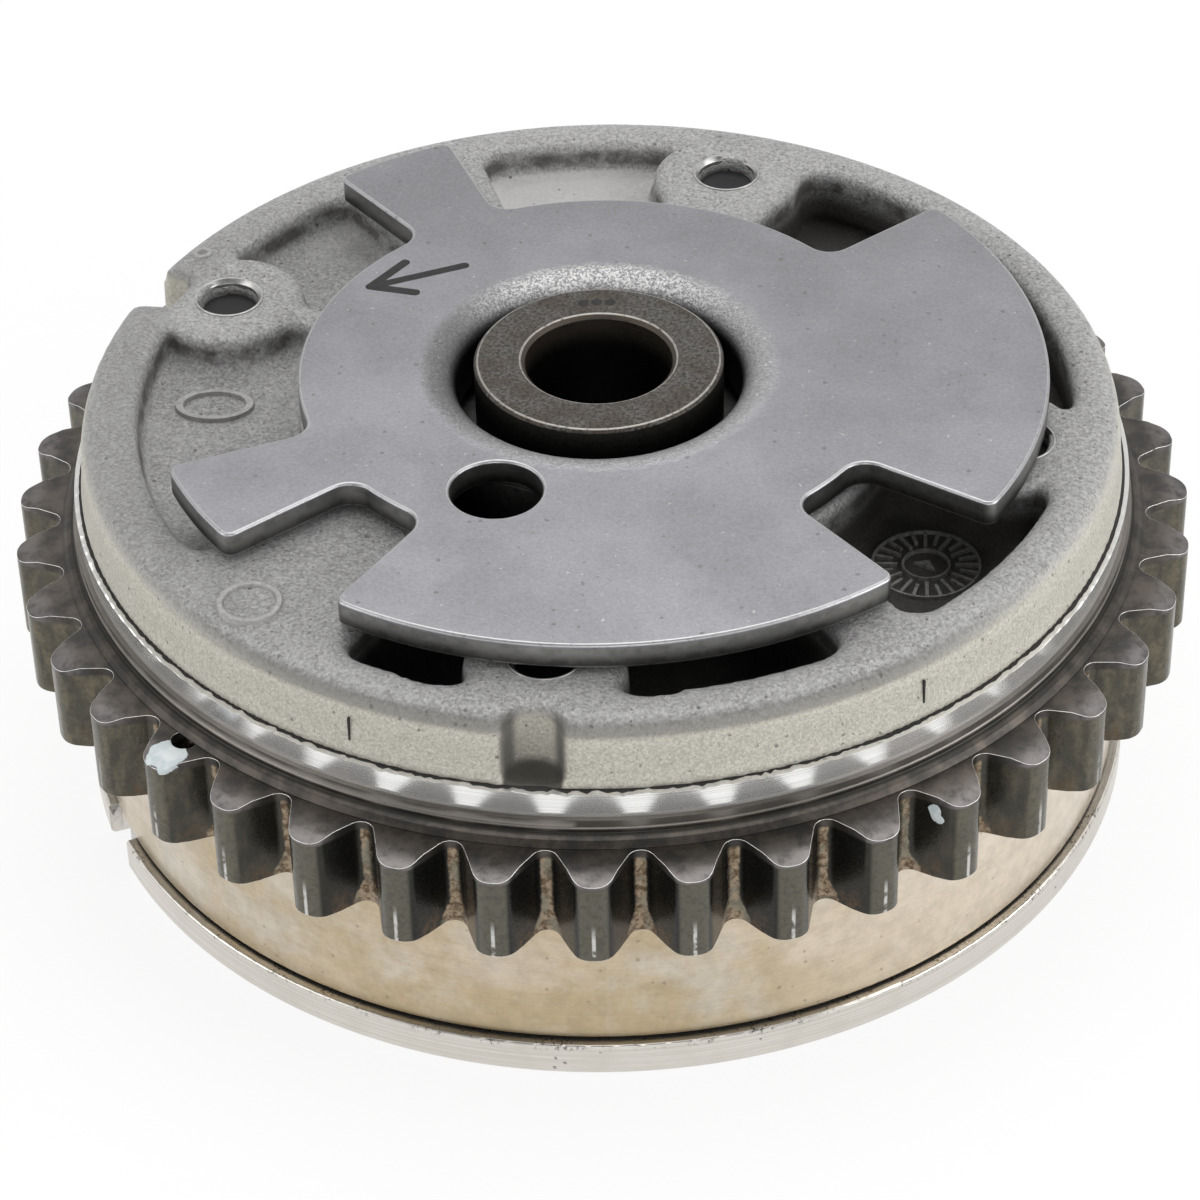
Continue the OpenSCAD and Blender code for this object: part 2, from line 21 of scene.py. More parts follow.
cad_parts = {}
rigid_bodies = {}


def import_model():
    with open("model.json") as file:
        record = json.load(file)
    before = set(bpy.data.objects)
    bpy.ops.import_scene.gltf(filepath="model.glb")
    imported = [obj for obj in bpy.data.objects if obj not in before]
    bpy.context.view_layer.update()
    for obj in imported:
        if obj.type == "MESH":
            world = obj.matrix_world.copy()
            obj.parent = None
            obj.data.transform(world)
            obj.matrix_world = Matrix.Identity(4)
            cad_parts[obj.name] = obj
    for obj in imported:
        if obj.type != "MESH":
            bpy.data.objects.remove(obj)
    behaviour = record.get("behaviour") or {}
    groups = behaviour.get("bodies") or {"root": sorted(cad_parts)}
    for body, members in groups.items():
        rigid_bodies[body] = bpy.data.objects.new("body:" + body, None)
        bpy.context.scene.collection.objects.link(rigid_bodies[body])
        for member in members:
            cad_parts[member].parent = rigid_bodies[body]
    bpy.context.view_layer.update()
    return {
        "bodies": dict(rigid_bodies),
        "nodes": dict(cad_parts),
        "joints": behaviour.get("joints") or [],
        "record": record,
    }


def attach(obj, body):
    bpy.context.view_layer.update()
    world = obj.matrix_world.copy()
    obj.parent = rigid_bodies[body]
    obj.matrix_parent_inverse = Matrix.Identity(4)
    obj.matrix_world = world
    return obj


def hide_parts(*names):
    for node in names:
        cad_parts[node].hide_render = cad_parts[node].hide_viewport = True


LOG = logging.getLogger("cam_phaser")
MM = 0.001
Pair = tuple[float, float]
Triple = tuple[float, float, float]
RGB = Triple
Socket = bpy.types.NodeSocket


class Body(Enum):
    """Rigid bodies of the phaser."""

    HOUSING = "housing"
    ROTOR = "rotor"


# Mesh tools


def cad_copy(frame: dict, node: str) -> BMesh:
    """Copies a node of the frame as one merged mesh in millimetres.

    Args:
        frame: The loaded frame.
        node: Name of the node.

    Returns:
        A new bmesh with flat regions joined into single faces.
    """
    bm = bmesh.new()
    bm.from_mesh(frame["nodes"][node].data)
    bmesh.ops.scale(bm, vec=Vector((1 / MM,) * 3), verts=bm.verts)
    bmesh.ops.remove_doubles(bm, verts=bm.verts, dist=0.002)
    bmesh.ops.dissolve_limit(bm, angle_limit=math.radians(0.4), verts=bm.verts, edges=bm.edges)
    return bm


def polar(radius: float, degrees: float, height: float = 0.0) -> Vector:
    """Returns the point at a radius, a direction in degrees and a height."""
    angle = math.radians(degrees)
    return Vector((radius * math.cos(angle), radius * math.sin(angle), height))


def spin_ring(bm: BMesh, profile: Sequence[Pair], steps: int,
              start: float = 0.0, sweep: float = 360.0) -> list[BMVert]:
    """Spins a closed profile about the axis of the phaser.

    Args:
        bm: Mesh that takes the ring.
        profile: Corners as radius and height, in order.
        steps: Number of steps of the spin.
        start: Direction in which the spin starts, in degrees.
        sweep: Angle of the spin in degrees.

    Returns:
        The vertices of the ring.
    """
    before = set(bm.verts)
    corners = [bm.verts.new(polar(r, start, z)) for r, z in profile]
    edges = [bm.edges.new((a, b)) for a, b in zip(corners, corners[1:] + corners[:1])]
    full = abs(sweep - 360.0) < 1e-6
    if not full:
        bm.faces.new(corners)
    bmesh.ops.spin(bm, geom=corners + edges, cent=(0, 0, 0), axis=(0, 0, 1), steps=steps,
                   angle=math.radians(sweep), use_merge=full, use_duplicate=False)
    ring = [v for v in bm.verts if v not in before]
    if not full:
        end = [v for v in ring if abs(math.degrees(math.atan2(v.co.y, v.co.x)) % 360
                                      - (start + sweep) % 360) < 0.01]
        bmesh.ops.holes_fill(bm,
                             edges=list({e for v in end for e in v.link_edges if e.is_boundary}),
                             sides=0)
    bmesh.ops.recalc_face_normals(bm, faces=[f for f in bm.faces if f.verts[0] in set(ring)])
    return ring


def rounded(profile: Sequence[Pair], radii: Sequence[float], steps: int = 5
            ) -> list[Pair]:
    """Rounds the corners of a closed profile.

    Args:
        profile: Corners in order.
        radii: Radius of each corner, 0 for a sharp one.
        steps: Number of chords in each round.

    Returns:
        The new list of corners.
    """
    out: list[Pair] = []
    count = len(profile)
    for i, radius in enumerate(radii):
        corner = Vector(profile[i])
        if radius <= 0:
            out.append(tuple(corner))
            continue
        a = (Vector(profile[i - 1]) - corner).normalized()
        b = (Vector(profile[(i + 1) % count]) - corner).normalized()
        half = a.angle(b) / 2
        reach = radius / math.tan(half)
        centre = corner + (a + b).normalized() * radius / math.sin(half)
        first = corner + a * reach - centre
        last = corner + b * reach - centre
        for k in range(steps + 1):
            mixed = first.lerp(last, k / steps)
            out.append(tuple(centre + mixed.normalized() * radius))
    return out


def bevel_sharp(bm: BMesh, offset: float, segments: int, angle: float = 35.0,
                where: Optional[Callable[[BMEdge], bool]] = None) -> None:
    """Bevels sharp edges and marks the new faces in the "edge" layer.

    Args:
        bm: Mesh to bevel.
        offset: Width of the bevel.
        segments: Number of segments of the bevel.
        angle: Smallest angle of a sharp edge in degrees.
        where: Test that an edge has to pass as well.
    """
    layer = bm.faces.layers.float.get("edge") or bm.faces.layers.float.new("edge")
    sharp = [e for e in bm.edges if len(e.link_faces) == 2
             and e.calc_face_angle(0.0) > math.radians(angle) and (where is None or where(e))]
    made = bmesh.ops.bevel(bm, geom=sharp, offset=offset, offset_type="OFFSET", affect="EDGES",
                           segments=segments, profile=0.5, material=-1, clamp_overlap=True)
    for face in made["faces"]:
        face[layer] = 1.0


def round_out(bm: BMesh, radius: float, cuts: int) -> None:
    """Splits the edges along a coaxial round and puts the new vertices on it.

    Args:
        bm: Mesh to refine.
        radius: Radius of the round.
        cuts: Number of cuts in each edge.
    """
    def on_round(v: BMVert) -> bool:
        """Tells whether a vertex lies on the round."""
        return abs(math.hypot(v.co.x, v.co.y) - radius) < 0.01

    long_edges = [e for e in bm.edges if on_round(e.verts[0]) and on_round(e.verts[1])
                  and abs(e.verts[0].co.z - e.verts[1].co.z) < 0.01]
    made = bmesh.ops.subdivide_edges(bm, edges=long_edges, cuts=cuts)
    for item in made["geom_inner"]:
        if isinstance(item, BMVert):
            grow = radius / math.hypot(item.co.x, item.co.y)
            item.co.x *= grow
            item.co.y *= grow


def soften(bm: BMesh, verts: Sequence[BMVert], rounds: int) -> None:
    """Smooths vertices along all axes.

    Args:
        bm: Mesh to smooth.
        verts: Vertices that move.
        rounds: Number of smoothing rounds.
    """
    for _ in range(rounds):
        bmesh.ops.smooth_vert(bm, verts=verts, factor=0.5, use_axis_x=True, use_axis_y=True,
                              use_axis_z=True)


def cast_remesh(bm: BMesh, voxel: float, rounds: int) -> BMesh:
    """Turns a sharp solid into a softly rounded casting.

    Args:
        bm: Sharp closed mesh, freed here.
        voxel: Size of the voxels.
        rounds: Number of smoothing rounds.

    Returns:
        The rounded mesh.
    """
    mesh = bpy.data.meshes.new("casting_tmp")
    bm.to_mesh(mesh)
    bm.free()
    obj = bpy.data.objects.new("casting_tmp", mesh)
    bpy.context.scene.collection.objects.link(obj)
    remesh = obj.modifiers.new("voxels", "REMESH")
    remesh.mode = "VOXEL"
    remesh.voxel_size = voxel
    graph = bpy.context.evaluated_depsgraph_get()
    out = bmesh.new()
    out.from_mesh(obj.evaluated_get(graph).to_mesh())
    bpy.data.objects.remove(obj)
    bpy.data.meshes.remove(mesh)
    soften(out, out.verts, rounds)
    return out


def stroke(bm: BMesh, start: Vector, end: Vector, width: float, height: float) -> None:
    """Adds a flat bar with rounded ends between two points.

    Args:
        bm: Mesh that takes the bar.
        start: Middle of the bar's foot at one end.
        end: Middle of the bar's foot at the other end.
        width: Width of the bar.
        height: Height of the bar.
    """
    before = set(bm.verts)
    bmesh.ops.create_cube(bm, size=1.0)
    made = [v for v in bm.verts if v not in before]
    span = end - start
    bmesh.ops.scale(bm, vec=(span.length + width, width, height), verts=made)
    upright = [e for e in bm.edges if e.verts[0] in made and e.verts[1] in made
               and abs(e.verts[0].co.z - e.verts[1].co.z) > height / 2]
    bmesh.ops.bevel(bm, geom=upright, offset=width * 0.45, offset_type="OFFSET", affect="EDGES",
                    segments=4, profile=0.5, material=-1)
    made = [v for v in bm.verts if v not in before]
    top = {f for v in made for f in v.link_faces if f.normal.z > 0.9}
    bmesh.ops.inset_region(bm, faces=list(top), thickness=width * 0.18, depth=height * 0.3)
    made = [v for v in bm.verts if v not in before]
    turn = Matrix.Rotation(math.atan2(span.y, span.x), 4, "Z")
    lift = Matrix.Translation((start + end) / 2 + Vector((0, 0, height / 2)))
    bmesh.ops.transform(bm, matrix=lift @ turn, verts=made)


def skin_patch(bm: BMesh, centre: Vector, reach: float, thick: float, stretch: Vector,
               ragged: float) -> BMesh:
    """Lifts a ragged patch off a surface, for paint that lies on it.

    Args:
        bm: Mesh that carries the patch, left as it is.
        centre: Middle of the patch.
        reach: Radius of the patch.
        thick: Thickness of the patch.
        stretch: Shape of the patch along the three axes, 1 for round.
        ragged: Unevenness of the outline as a share of the reach.

    Returns:
        The patch as a closed mesh.
    """
    out = bm.copy()
    far = [f for f in out.faces if min((v.co - centre).length for v in f.verts) > reach * 6]
    bmesh.ops.delete(out, geom=far, context="FACES")
    bmesh.ops.triangulate(out, faces=out.faces)
    for _ in range(6):
        near = [e for e in out.edges if e.calc_length() > reach * 0.09
                and min((v.co - centre).length for v in e.verts) < reach * 3 + e.calc_length()]
        if not near:
            break
        bmesh.ops.subdivide_edges(out, edges=near, cuts=1)
        bmesh.ops.triangulate(out, faces=out.faces)

    def outside(face: BMFace) -> bool:
        """Tells whether a face lies outside the ragged outline."""
        off = face.calc_center_median() - centre
        wave = noise.noise(off * 1.1 + Vector((3.0, 1.0, 2.0)))
        away = Vector((off.x / stretch.x, off.y / stretch.y, off.z / stretch.z)).length
        return away > reach * (1.0 + ragged * wave)

    bmesh.ops.delete(out, geom=[f for f in out.faces if outside(f)], context="FACES")
    out.normal_update()
    for v in out.verts:
        v.co += v.normal * thick
    bmesh.ops.solidify(out, geom=list(out.faces), thickness=thick)
    bmesh.ops.recalc_face_normals(out, faces=out.faces)
    return out


def finish_piece(bm: BMesh, name: str, body: Body,
                 finish: Material, replaces: Sequence[str] = (), smooth: float = 38.0,
                 even: bool = False) -> Object:
    """Makes a piece from a bmesh, in metres, and ties it to its body.

    Args:
        bm: Mesh in millimetres, freed here.
        name: Name of the piece.
        body: Body that the piece rides on.
        finish: Material of the piece.
        replaces: Nodes that the piece stands for.
        smooth: Largest angle in degrees that is shaded smooth.
        even: Whether large flat faces keep their own normals.

    Returns:
        The new object.
    """
    bmesh.ops.scale(bm, vec=Vector((MM,) * 3), verts=bm.verts)
    mesh = bpy.data.meshes.new(name)
    bm.to_mesh(mesh)
    bm.free()
    mesh.polygons.foreach_set("use_smooth", [True] * len(mesh.polygons))
    mesh.set_sharp_from_angle(angle=math.radians(smooth))
    mesh.materials.append(finish)
    obj = bpy.data.objects.new(name, mesh)
    bpy.context.scene.collection.objects.link(obj)
    if even:
        weighted = obj.modifiers.new("even_normals", "WEIGHTED_NORMAL")
        weighted.mode = "FACE_AREA"
        weighted.weight = 100
        weighted.keep_sharp = True
    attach(obj, body.value)
    if replaces:
        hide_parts(*replaces)
    LOG.info("%s: %d faces on %s", name, len(mesh.polygons), body.value)
    return obj


# Shader tools


class Shader:
    """Adds nodes to one node tree."""

    def __init__(self, tree: NodeTree) -> None:
        """Keeps the tree."""
        self.tree = tree

    def node(self, kind: str, **settings: object) -> Node:
        """Adds a node of a kind with its settings."""
        made = self.tree.nodes.new(kind)
        for key, value in settings.items():
            setattr(made, key, value)
        return made

    def put(self, socket: Socket, value: object) -> None:
        """Links a socket to an input, or sets the input's value."""
        if isinstance(value, Socket):
            self.tree.links.new(value, socket)
        elif isinstance(value, tuple) and len(value) == 3 and socket.type == "RGBA":
            socket.default_value = (*value, 1.0)
        else:
            socket.default_value = value

    def made(self, kind: str, inputs: dict, out: object = 0, **settings: object) -> Socket:
        """Adds a node, fills its inputs and returns one of its outputs.

        Args:
            kind: Type of the node.
            inputs: Value or socket for each input, by number or name.
            out: Number or name of the output.
            **settings: Settings of the node.

        Returns:
            The output's socket.
        """
        node = self.node(kind, **settings)
        for key, value in inputs.items():
            self.put(node.inputs[key], value)
        return node.outputs[out]

    def math(self, kind: str, a: object, b: object = 0.0, clamp: bool = False) -> Socket:
        """Adds a math node and returns its result."""
        return self.made("ShaderNodeMath", {0: a, 1: b}, operation=kind, use_clamp=clamp)

    def mul(self, first: object, *rest: object) -> Socket:
        """Multiplies values in order."""
        for value in rest:
            first = self.math("MULTIPLY", first, value)
        return first

    def add(self, a: object, b: object) -> Socket:
        """Adds two values."""
        return self.math("ADD", a, b)

    def sub(self, a: object, b: object) -> Socket:
        """Takes the second value from the first."""
        return self.math("SUBTRACT", a, b)

    def abs(self, value: object) -> Socket:
        """Returns a value without its sign."""
        return self.math("ABSOLUTE", value)

    def tint(self, color: object, over: object, *masks: object) -> Socket:
        """Lays a colour over another by the product of the masks."""
        return self.mix(self.mul(*masks), color, over)

    def step(self, value: object, low: float, high: float) -> Socket:
        """Returns a smooth step from 0 at low to 1 at high."""
        return self.made("ShaderNodeMapRange", {0: value, 1: low, 2: high},
                         interpolation_type="SMOOTHSTEP", clamp=True)

    def band(self, value: object, low: float, high: float, soft: float) -> Socket:
        """Returns 1 between low and high with soft ends."""
        up = self.step(value, low - soft, low + soft)
        down = self.step(value, high + soft, high - soft)
        return self.mul(up, down)

    def mix(self, fac: object, a: object, b: object) -> Socket:
        """Mixes two colours."""
        return self.made("ShaderNodeMix", {0: fac, 6: a, 7: b}, 2, data_type="RGBA")

    def blend(self, fac: object, a: object, b: object) -> Socket:
        """Mixes two values."""
        return self.made("ShaderNodeMix", {0: fac, 2: a, 3: b}, data_type="FLOAT")

    def noise(self, vector: Socket, scale: object, detail: float = 3.0,
              rough: float = 0.55) -> Socket:
        """Returns noise of a scale per millimetre."""
        return self.made("ShaderNodeTexNoise", {"Vector": vector, "Scale": scale, "Detail": detail,
                                                "Roughness": rough})

    def warp(self, place: Socket, scale: float, reach: float) -> Socket:
        """Shifts a place by noise of a scale, up to a reach."""
        cloud = self.made("ShaderNodeTexNoise", {"Vector": place, "Scale": scale}, "Color")
        centred = self.made("ShaderNodeVectorMath", {0: cloud, 1: (0.5, 0.5, 0.5)},
                            operation="SUBTRACT")
        return self.made("ShaderNodeVectorMath", {0: centred, 1: (reach, reach, reach), 2: place},
                         operation="MULTIPLY_ADD")

    def millimetres(self) -> Socket:
        """Returns the object coordinates in millimetres."""
        place = self.made("ShaderNodeTexCoord", {}, "Object")
        return self.made("ShaderNodeVectorMath", {0: place, "Scale": 1 / MM}, operation="SCALE")

    def polar(self, vector: Socket) -> tuple[Socket, Socket, Socket]:
        """Returns radius, direction in degrees and height of a point."""
        split = self.node("ShaderNodeSeparateXYZ")
        self.put(split.inputs[0], vector)
        x, y, z = split.outputs
        radius = self.math("SQRT", self.add(self.mul(x, x), self.mul(y, y)))
        angle = self.mul(self.math("ARCTAN2", y, x), math.degrees(1.0))
        return radius, angle, z

    def vector(self, x: object, y: object, z: object) -> Socket:
        """Joins three values into a vector."""
        return self.made("ShaderNodeCombineXYZ", {0: x, 1: y, 2: z})

    def stretch(self, place: Socket, tall: float, shift: float) -> Socket:
        """Returns a point with its height stretched and all of it shifted."""
        return self.made("ShaderNodeVectorMath",
                         {0: place, 1: (1.0, 1.0, tall), 2: (shift, shift, shift)},
                         operation="MULTIPLY_ADD")

    def sideways(self, place: Socket) -> Socket:
        """Returns the first coordinate of a point."""
        return self.made("ShaderNodeSeparateXYZ", {0: place})

    def bump(self, height: Socket, strength: float, distance: float) -> Socket:
        """Returns the normal of a bump with a distance in millimetres."""
        return self.made("ShaderNodeBump", {"Strength": strength, "Distance": distance * MM,
                                            "Height": height})

    def feed(self, shader: Node, color: Socket, rough: Socket, normal: Socket) -> None:
        """Feeds the colour, the roughness and the normal of a shader."""
        for name, value in (("Base Color", color), ("Roughness", rough), ("Normal", normal)):
            self.put(shader.inputs[name], value)

    def attribute(self, name: str) -> Socket:
        """Returns a named attribute of the mesh as a value."""
        return self.node("ShaderNodeAttribute", attribute_name=name).outputs["Fac"]

    def group(self, tree: NodeTree, **values: object) -> Node:
        """Places a node group with its values, given with _ for spaces."""
        made = self.node("ShaderNodeGroup", node_tree=tree)
        for key, value in values.items():
            self.put(made.inputs[key.replace("_", " ")], value)
        return made


class Effects:
    """Node groups that several finishes share, each built once."""

    def __init__(self) -> None:
        """Builds the groups."""
        self.grain = self._grain()
        self.specks = self._specks()
        self.turning = self._turning()
        self.wear = self._wear()

    @staticmethod
    def _begin(name: str, inputs: Sequence[tuple[str, str]], outputs: Sequence[tuple[str, str]]
               ) -> tuple[Shader, Node, Node]:
        """Starts a group.

        Args:
            name: Name of the group.
            inputs: Name and socket type of each input.
            outputs: Name and socket type of each output.

        Returns:
            The shader tools of the group, its input node and its output node.
        """
        tree = bpy.data.node_groups.new(name, "ShaderNodeTree")
        for label, kind in inputs:
            tree.interface.new_socket(name=label, in_out="INPUT", socket_type=kind)
        for label, kind in outputs:
            tree.interface.new_socket(name=label, in_out="OUTPUT", socket_type=kind)
        sh = Shader(tree)
        return sh, sh.node("NodeGroupInput"), sh.node("NodeGroupOutput")

    def _grain(self) -> NodeTree:
        """Sandy grain: coarse and fine noise as one height and one mask."""
        sh, start, end = self._begin(
            "SandGrain", [("Place", "NodeSocketVector"), ("Scale", "NodeSocketFloat")],
            [("Mask", "NodeSocketFloat"), ("Height", "NodeSocketFloat")])
        place, scale = start.outputs[0], start.outputs[1]
        coarse = sh.noise(place, scale, 2.0)
        fine = sh.noise(place, sh.mul(scale, 2.7), 4.0, 0.65)
        cells = sh.node("ShaderNodeTexVoronoi")
        sh.put(cells.inputs["Vector"], place)
        sh.put(cells.inputs["Scale"], sh.mul(scale, 1.25))
        pick = sh.node("ShaderNodeSeparateColor")
        sh.put(pick.inputs[0], cells.outputs["Color"])
        height = sh.add(sh.mul(coarse, 0.5), sh.mul(fine, 0.5))
        mask = sh.mul(sh.step(height, 0.36, 0.64), 0.5)
        sh.put(end.inputs[0], sh.add(mask, sh.mul(pick.outputs[0], 0.5)))
        sh.put(end.inputs[1], sh.add(height, sh.mul(pick.outputs[0], 0.12)))
        return sh.tree

    def _specks(self) -> NodeTree:
        """Small scattered flecks of uneven size and outline."""
        sh, start, end = self._begin(
            "Specks", [("Place", "NodeSocketVector"), ("Scale", "NodeSocketFloat"),
                       ("Size", "NodeSocketFloat"), ("Share", "NodeSocketFloat")],
            [("Mask", "NodeSocketFloat")])
        place, scale, size, share = start.outputs[:4]
        spread = sh.node("ShaderNodeVectorMath", operation="SCALE")
        sh.put(spread.inputs[0], place)
        sh.put(spread.inputs["Scale"], scale)
        cells = sh.node("ShaderNodeTexVoronoi")
        sh.put(cells.inputs["Vector"], sh.warp(spread.outputs[0], 5.0, 0.35))
        sh.put(cells.inputs["Scale"], 1.0)
        pick = sh.node("ShaderNodeSeparateColor")
        sh.put(pick.inputs[0], cells.outputs["Color"])
        chosen = sh.math("LESS_THAN", pick.outputs[0], share)
        reach = sh.mul(size, sh.add(sh.mul(pick.outputs[1], 0.8), 0.2))
        near = sh.math("LESS_THAN", cells.outputs["Distance"], reach)
        sh.put(end.inputs[0], sh.mul(chosen, near))
        return sh.tree

    def _turning(self) -> NodeTree:
        """Fine rings that a lathe tool leaves."""
        sh, start, end = self._begin(
            "TurningRings", [("Across", "NodeSocketFloat"), ("Along", "NodeSocketFloat"),
                             ("Scale", "NodeSocketFloat")], [("Height", "NodeSocketFloat")])
        across, along, scale = start.outputs[:3]
        place = sh.vector(sh.mul(across, scale), sh.mul(along, 0.02), 0.0)
        sh.put(end.inputs[0], sh.noise(place, 1.0, 5.0, 0.7))
        return sh.tree

    def _wear(self) -> NodeTree:
        """Bright metal along edges, broken up by noise."""
        sh, start, end = self._begin(
            "EdgeWear", [("Place", "NodeSocketVector"), ("Edge", "NodeSocketFloat"),
                         ("Color", "NodeSocketColor"), ("Bright", "NodeSocketColor"),
                         ("Amount", "NodeSocketFloat"), ("Broken", "NodeSocketFloat")],
            [("Color", "NodeSocketColor"), ("Mask", "NodeSocketFloat")])
        place, edge, color, bright, amount, gaps = start.outputs[:6]
        low = sh.add(sh.mul(gaps, 0.38), 0.15)
        whole = sh.step(sh.noise(place, 1.7, 4.0, 0.65), low, sh.add(low, 0.18))
        mask = sh.math("MULTIPLY", sh.mul(edge, whole), amount, clamp=True)
        sh.put(end.inputs[0], sh.mix(mask, color, bright))
        sh.put(end.inputs[1], mask)
        return sh.tree


class Finish:
    """A metal finish that builds its own material."""

    name = "finish"
    metallic = 1.0

    def build(self, fx: Effects) -> Material:
        """Builds the material.

        Args:
            fx: The shared node groups.

        Returns:
            The material.
        """
        mat = bpy.data.materials.new(self.name)
        mat.use_nodes = True
        mat.node_tree.nodes.clear()
        sh = Shader(mat.node_tree)
        shader = sh.node("ShaderNodeBsdfPrincipled")
        out = sh.node("ShaderNodeOutputMaterial")
        sh.tree.links.new(shader.outputs[0], out.inputs[0])
        shader.inputs["Metallic"].default_value = self.metallic
        self.dress(sh, shader, fx)
        return mat

    def dress(self, sh: Shader, shader: Node, fx: Effects) -> None:
        """Feeds colour, roughness and normal of the shader."""
        raise NotImplementedError


@dataclass(frozen=True)
class CastFinish(Finish):
    """As-cast aluminium: grey sandy top, smoother beige wall and dirt specks, with painted shade in
    the pockets, the notch, the left rim, the front shoulder and under the wheel, and painted light
    on the back pocket floor.
    """

    name: str = "cast_aluminium"
    metallic: float = 0.5
    light: RGB = (0.585, 0.58, 0.575)
    dark: RGB = (0.20, 0.197, 0.192)
    wall: RGB = (0.625, 0.604, 0.536)
    wall_dark: RGB = (0.345, 0.33, 0.277)
    shade: RGB = (0.12, 0.118, 0.110)
    # dark colour of the dirt specks, also used as painted shade in the pockets and at the notch
    # foot
    dirt_and_shade: RGB = (0.055, 0.05, 0.042)
    black: RGB = (0.006, 0.006, 0.005)
    top: float = 38.2
    wall_r: float = 43.9
    land: float = 31.3
    shelf: float = 34.8
    notch_a: float = -96.0
    notch_half: float = 2.6
    floor_light: RGB = (0.72, 0.71, 0.70)

    def dress(self, sh: Shader, shader: Node, fx: Effects) -> None:
        """Feeds the shader from grain, height and radius."""
        place = sh.millimetres()
        radius, angle, height = sh.polar(place)
        sand = sh.group(fx.grain, Place=place, Scale=3.2)
        fine = sh.group(fx.grain, Place=place, Scale=4.2)
        wall = sh.mul(sh.step(radius, self.wall_r, self.wall_r + 0.7),
                      sh.step(height, self.top - 0.4, self.top - 1.9))
        cloud = sh.step(sh.noise(place, 0.11, 4.0, 0.6), 0.3, 0.7)
        flat = sh.mix(sand.outputs[0], self.dark, self.light)
        flat = sh.tint(flat, self.light, cloud, 0.2)
        # painted shade: the left side of the rim is darker
        aside = sh.mul(sh.step(sh.abs(angle), 115.0, 160.0), sh.step(radius, 40.5, 43.5))
        flat = sh.tint(flat, self.dark, aside, 0.34)
        # painted light: the floor of the back pocket is lightened
        floor = sh.mul(sh.band(height, self.shelf - 0.5, self.shelf + 0.4, 0.2),
                       sh.band(angle, 82.0, 128.0, 10.0))
        flat = sh.tint(flat, self.floor_light, floor, 0.7)
        side = sh.mix(fine.outputs[0], self.wall_dark, self.wall)
        color = sh.mix(wall, flat, side)
        pits = sh.group(fx.specks, Place=place, Scale=1.25, Size=0.26, Share=0.2)
        color = sh.tint(color, self.dirt_and_shade, pits.outputs[0], 0.6)
        inner = sh.step(radius, self.wall_r + 0.3, self.wall_r - 0.2)
        # grime along the foot of the pocket walls, deepened as painted shade in the concave corners
        grime_and_corner_shade = sh.mul(sh.band(height, self.top - 2.6, self.top - 1.2, 0.4), inner)
        grime_and_corner_shade = sh.mul(grime_and_corner_shade, sh.step(sh.noise(place, 0.4, 3.0), 0.3, 0.6))
        color = sh.tint(color, self.dirt_and_shade, grime_and_corner_shade, 0.75)
        # painted shade: the pockets darken with depth, from higher up in the front pockets
        well = sh.band(angle, -123.0, 65.0, 2.0)
        deep = sh.blend(well, sh.step(height, self.top - 3.7, self.top - 6.0),
                        sh.step(height, self.top - 1.2, self.top - 4.2))
        color = sh.tint(color, self.dirt_and_shade, deep, inner, 0.88)
        color = self._notch(sh, radius, angle, height, color)
        # painted shade: the casting under the wheel, seen through its gaps, goes near black
        under_wheel_shade = sh.band(radius, 13.0, 25.0, 0.8)
        color = sh.tint(color, self.black, under_wheel_shade, 0.94)
        ahead = sh.step(sh.abs(sh.add(angle, 90.0)), 62.0, 30.0)
        brow = sh.mul(sh.band(height, self.top - 1.75, self.top - 0.5, 0.3), ahead)
        brow = sh.mul(brow, sh.step(radius, self.wall_r + 0.6, self.wall_r + 1.6))
        color = sh.tint(color, self.shade, brow, 0.6)
        sh.put(shader.inputs["Metallic"], sh.blend(wall, 0.75, 0.4))
        relief = sh.blend(wall, sand.outputs[1], sh.mul(fine.outputs[1], 0.35))
        sh.feed(shader, color, sh.blend(wall, 0.50, 0.44), sh.bump(relief, 0.9, 0.34))

    def _notch(self, sh: Shader, radius: Socket, angle: Socket, height: Socket,
               color: Socket) -> Socket:
        """Paints shade on the sides and the foot of the half-round notch in the wall.

        Args:
            sh: Tools of the material.
            radius: Distance from the axis.
            angle: Direction in degrees.
            height: Height of the point.
            color: Colour so far.

        Returns:
            The shaded colour.
        """
        across = sh.abs(sh.mul(sh.sub(angle, self.notch_a), 0.82))
        inside = sh.mul(sh.step(radius, self.wall_r + 3.45, self.wall_r + 3.05),
                        sh.step(height, self.top - 0.6, self.top - 1.6))
        inside = sh.mul(inside, sh.step(radius, self.wall_r - 0.6, self.wall_r))
        sides = sh.mul(inside, sh.band(across, self.notch_half - 0.8, self.notch_half + 0.1, 0.35))
        color = sh.tint(color, self.shade, sides, 0.85)
        # painted shade: the foot of the notch is near black
        foot = sh.mul(sh.step(height, self.land + 1.5, self.land + 0.5),
                      sh.step(across, self.notch_half + 0.1, self.notch_half - 0.3))
        foot = sh.mul(foot, sh.step(radius, self.wall_r - 0.6, self.wall_r))
        return sh.tint(color, self.dirt_and_shade, foot, 0.95)


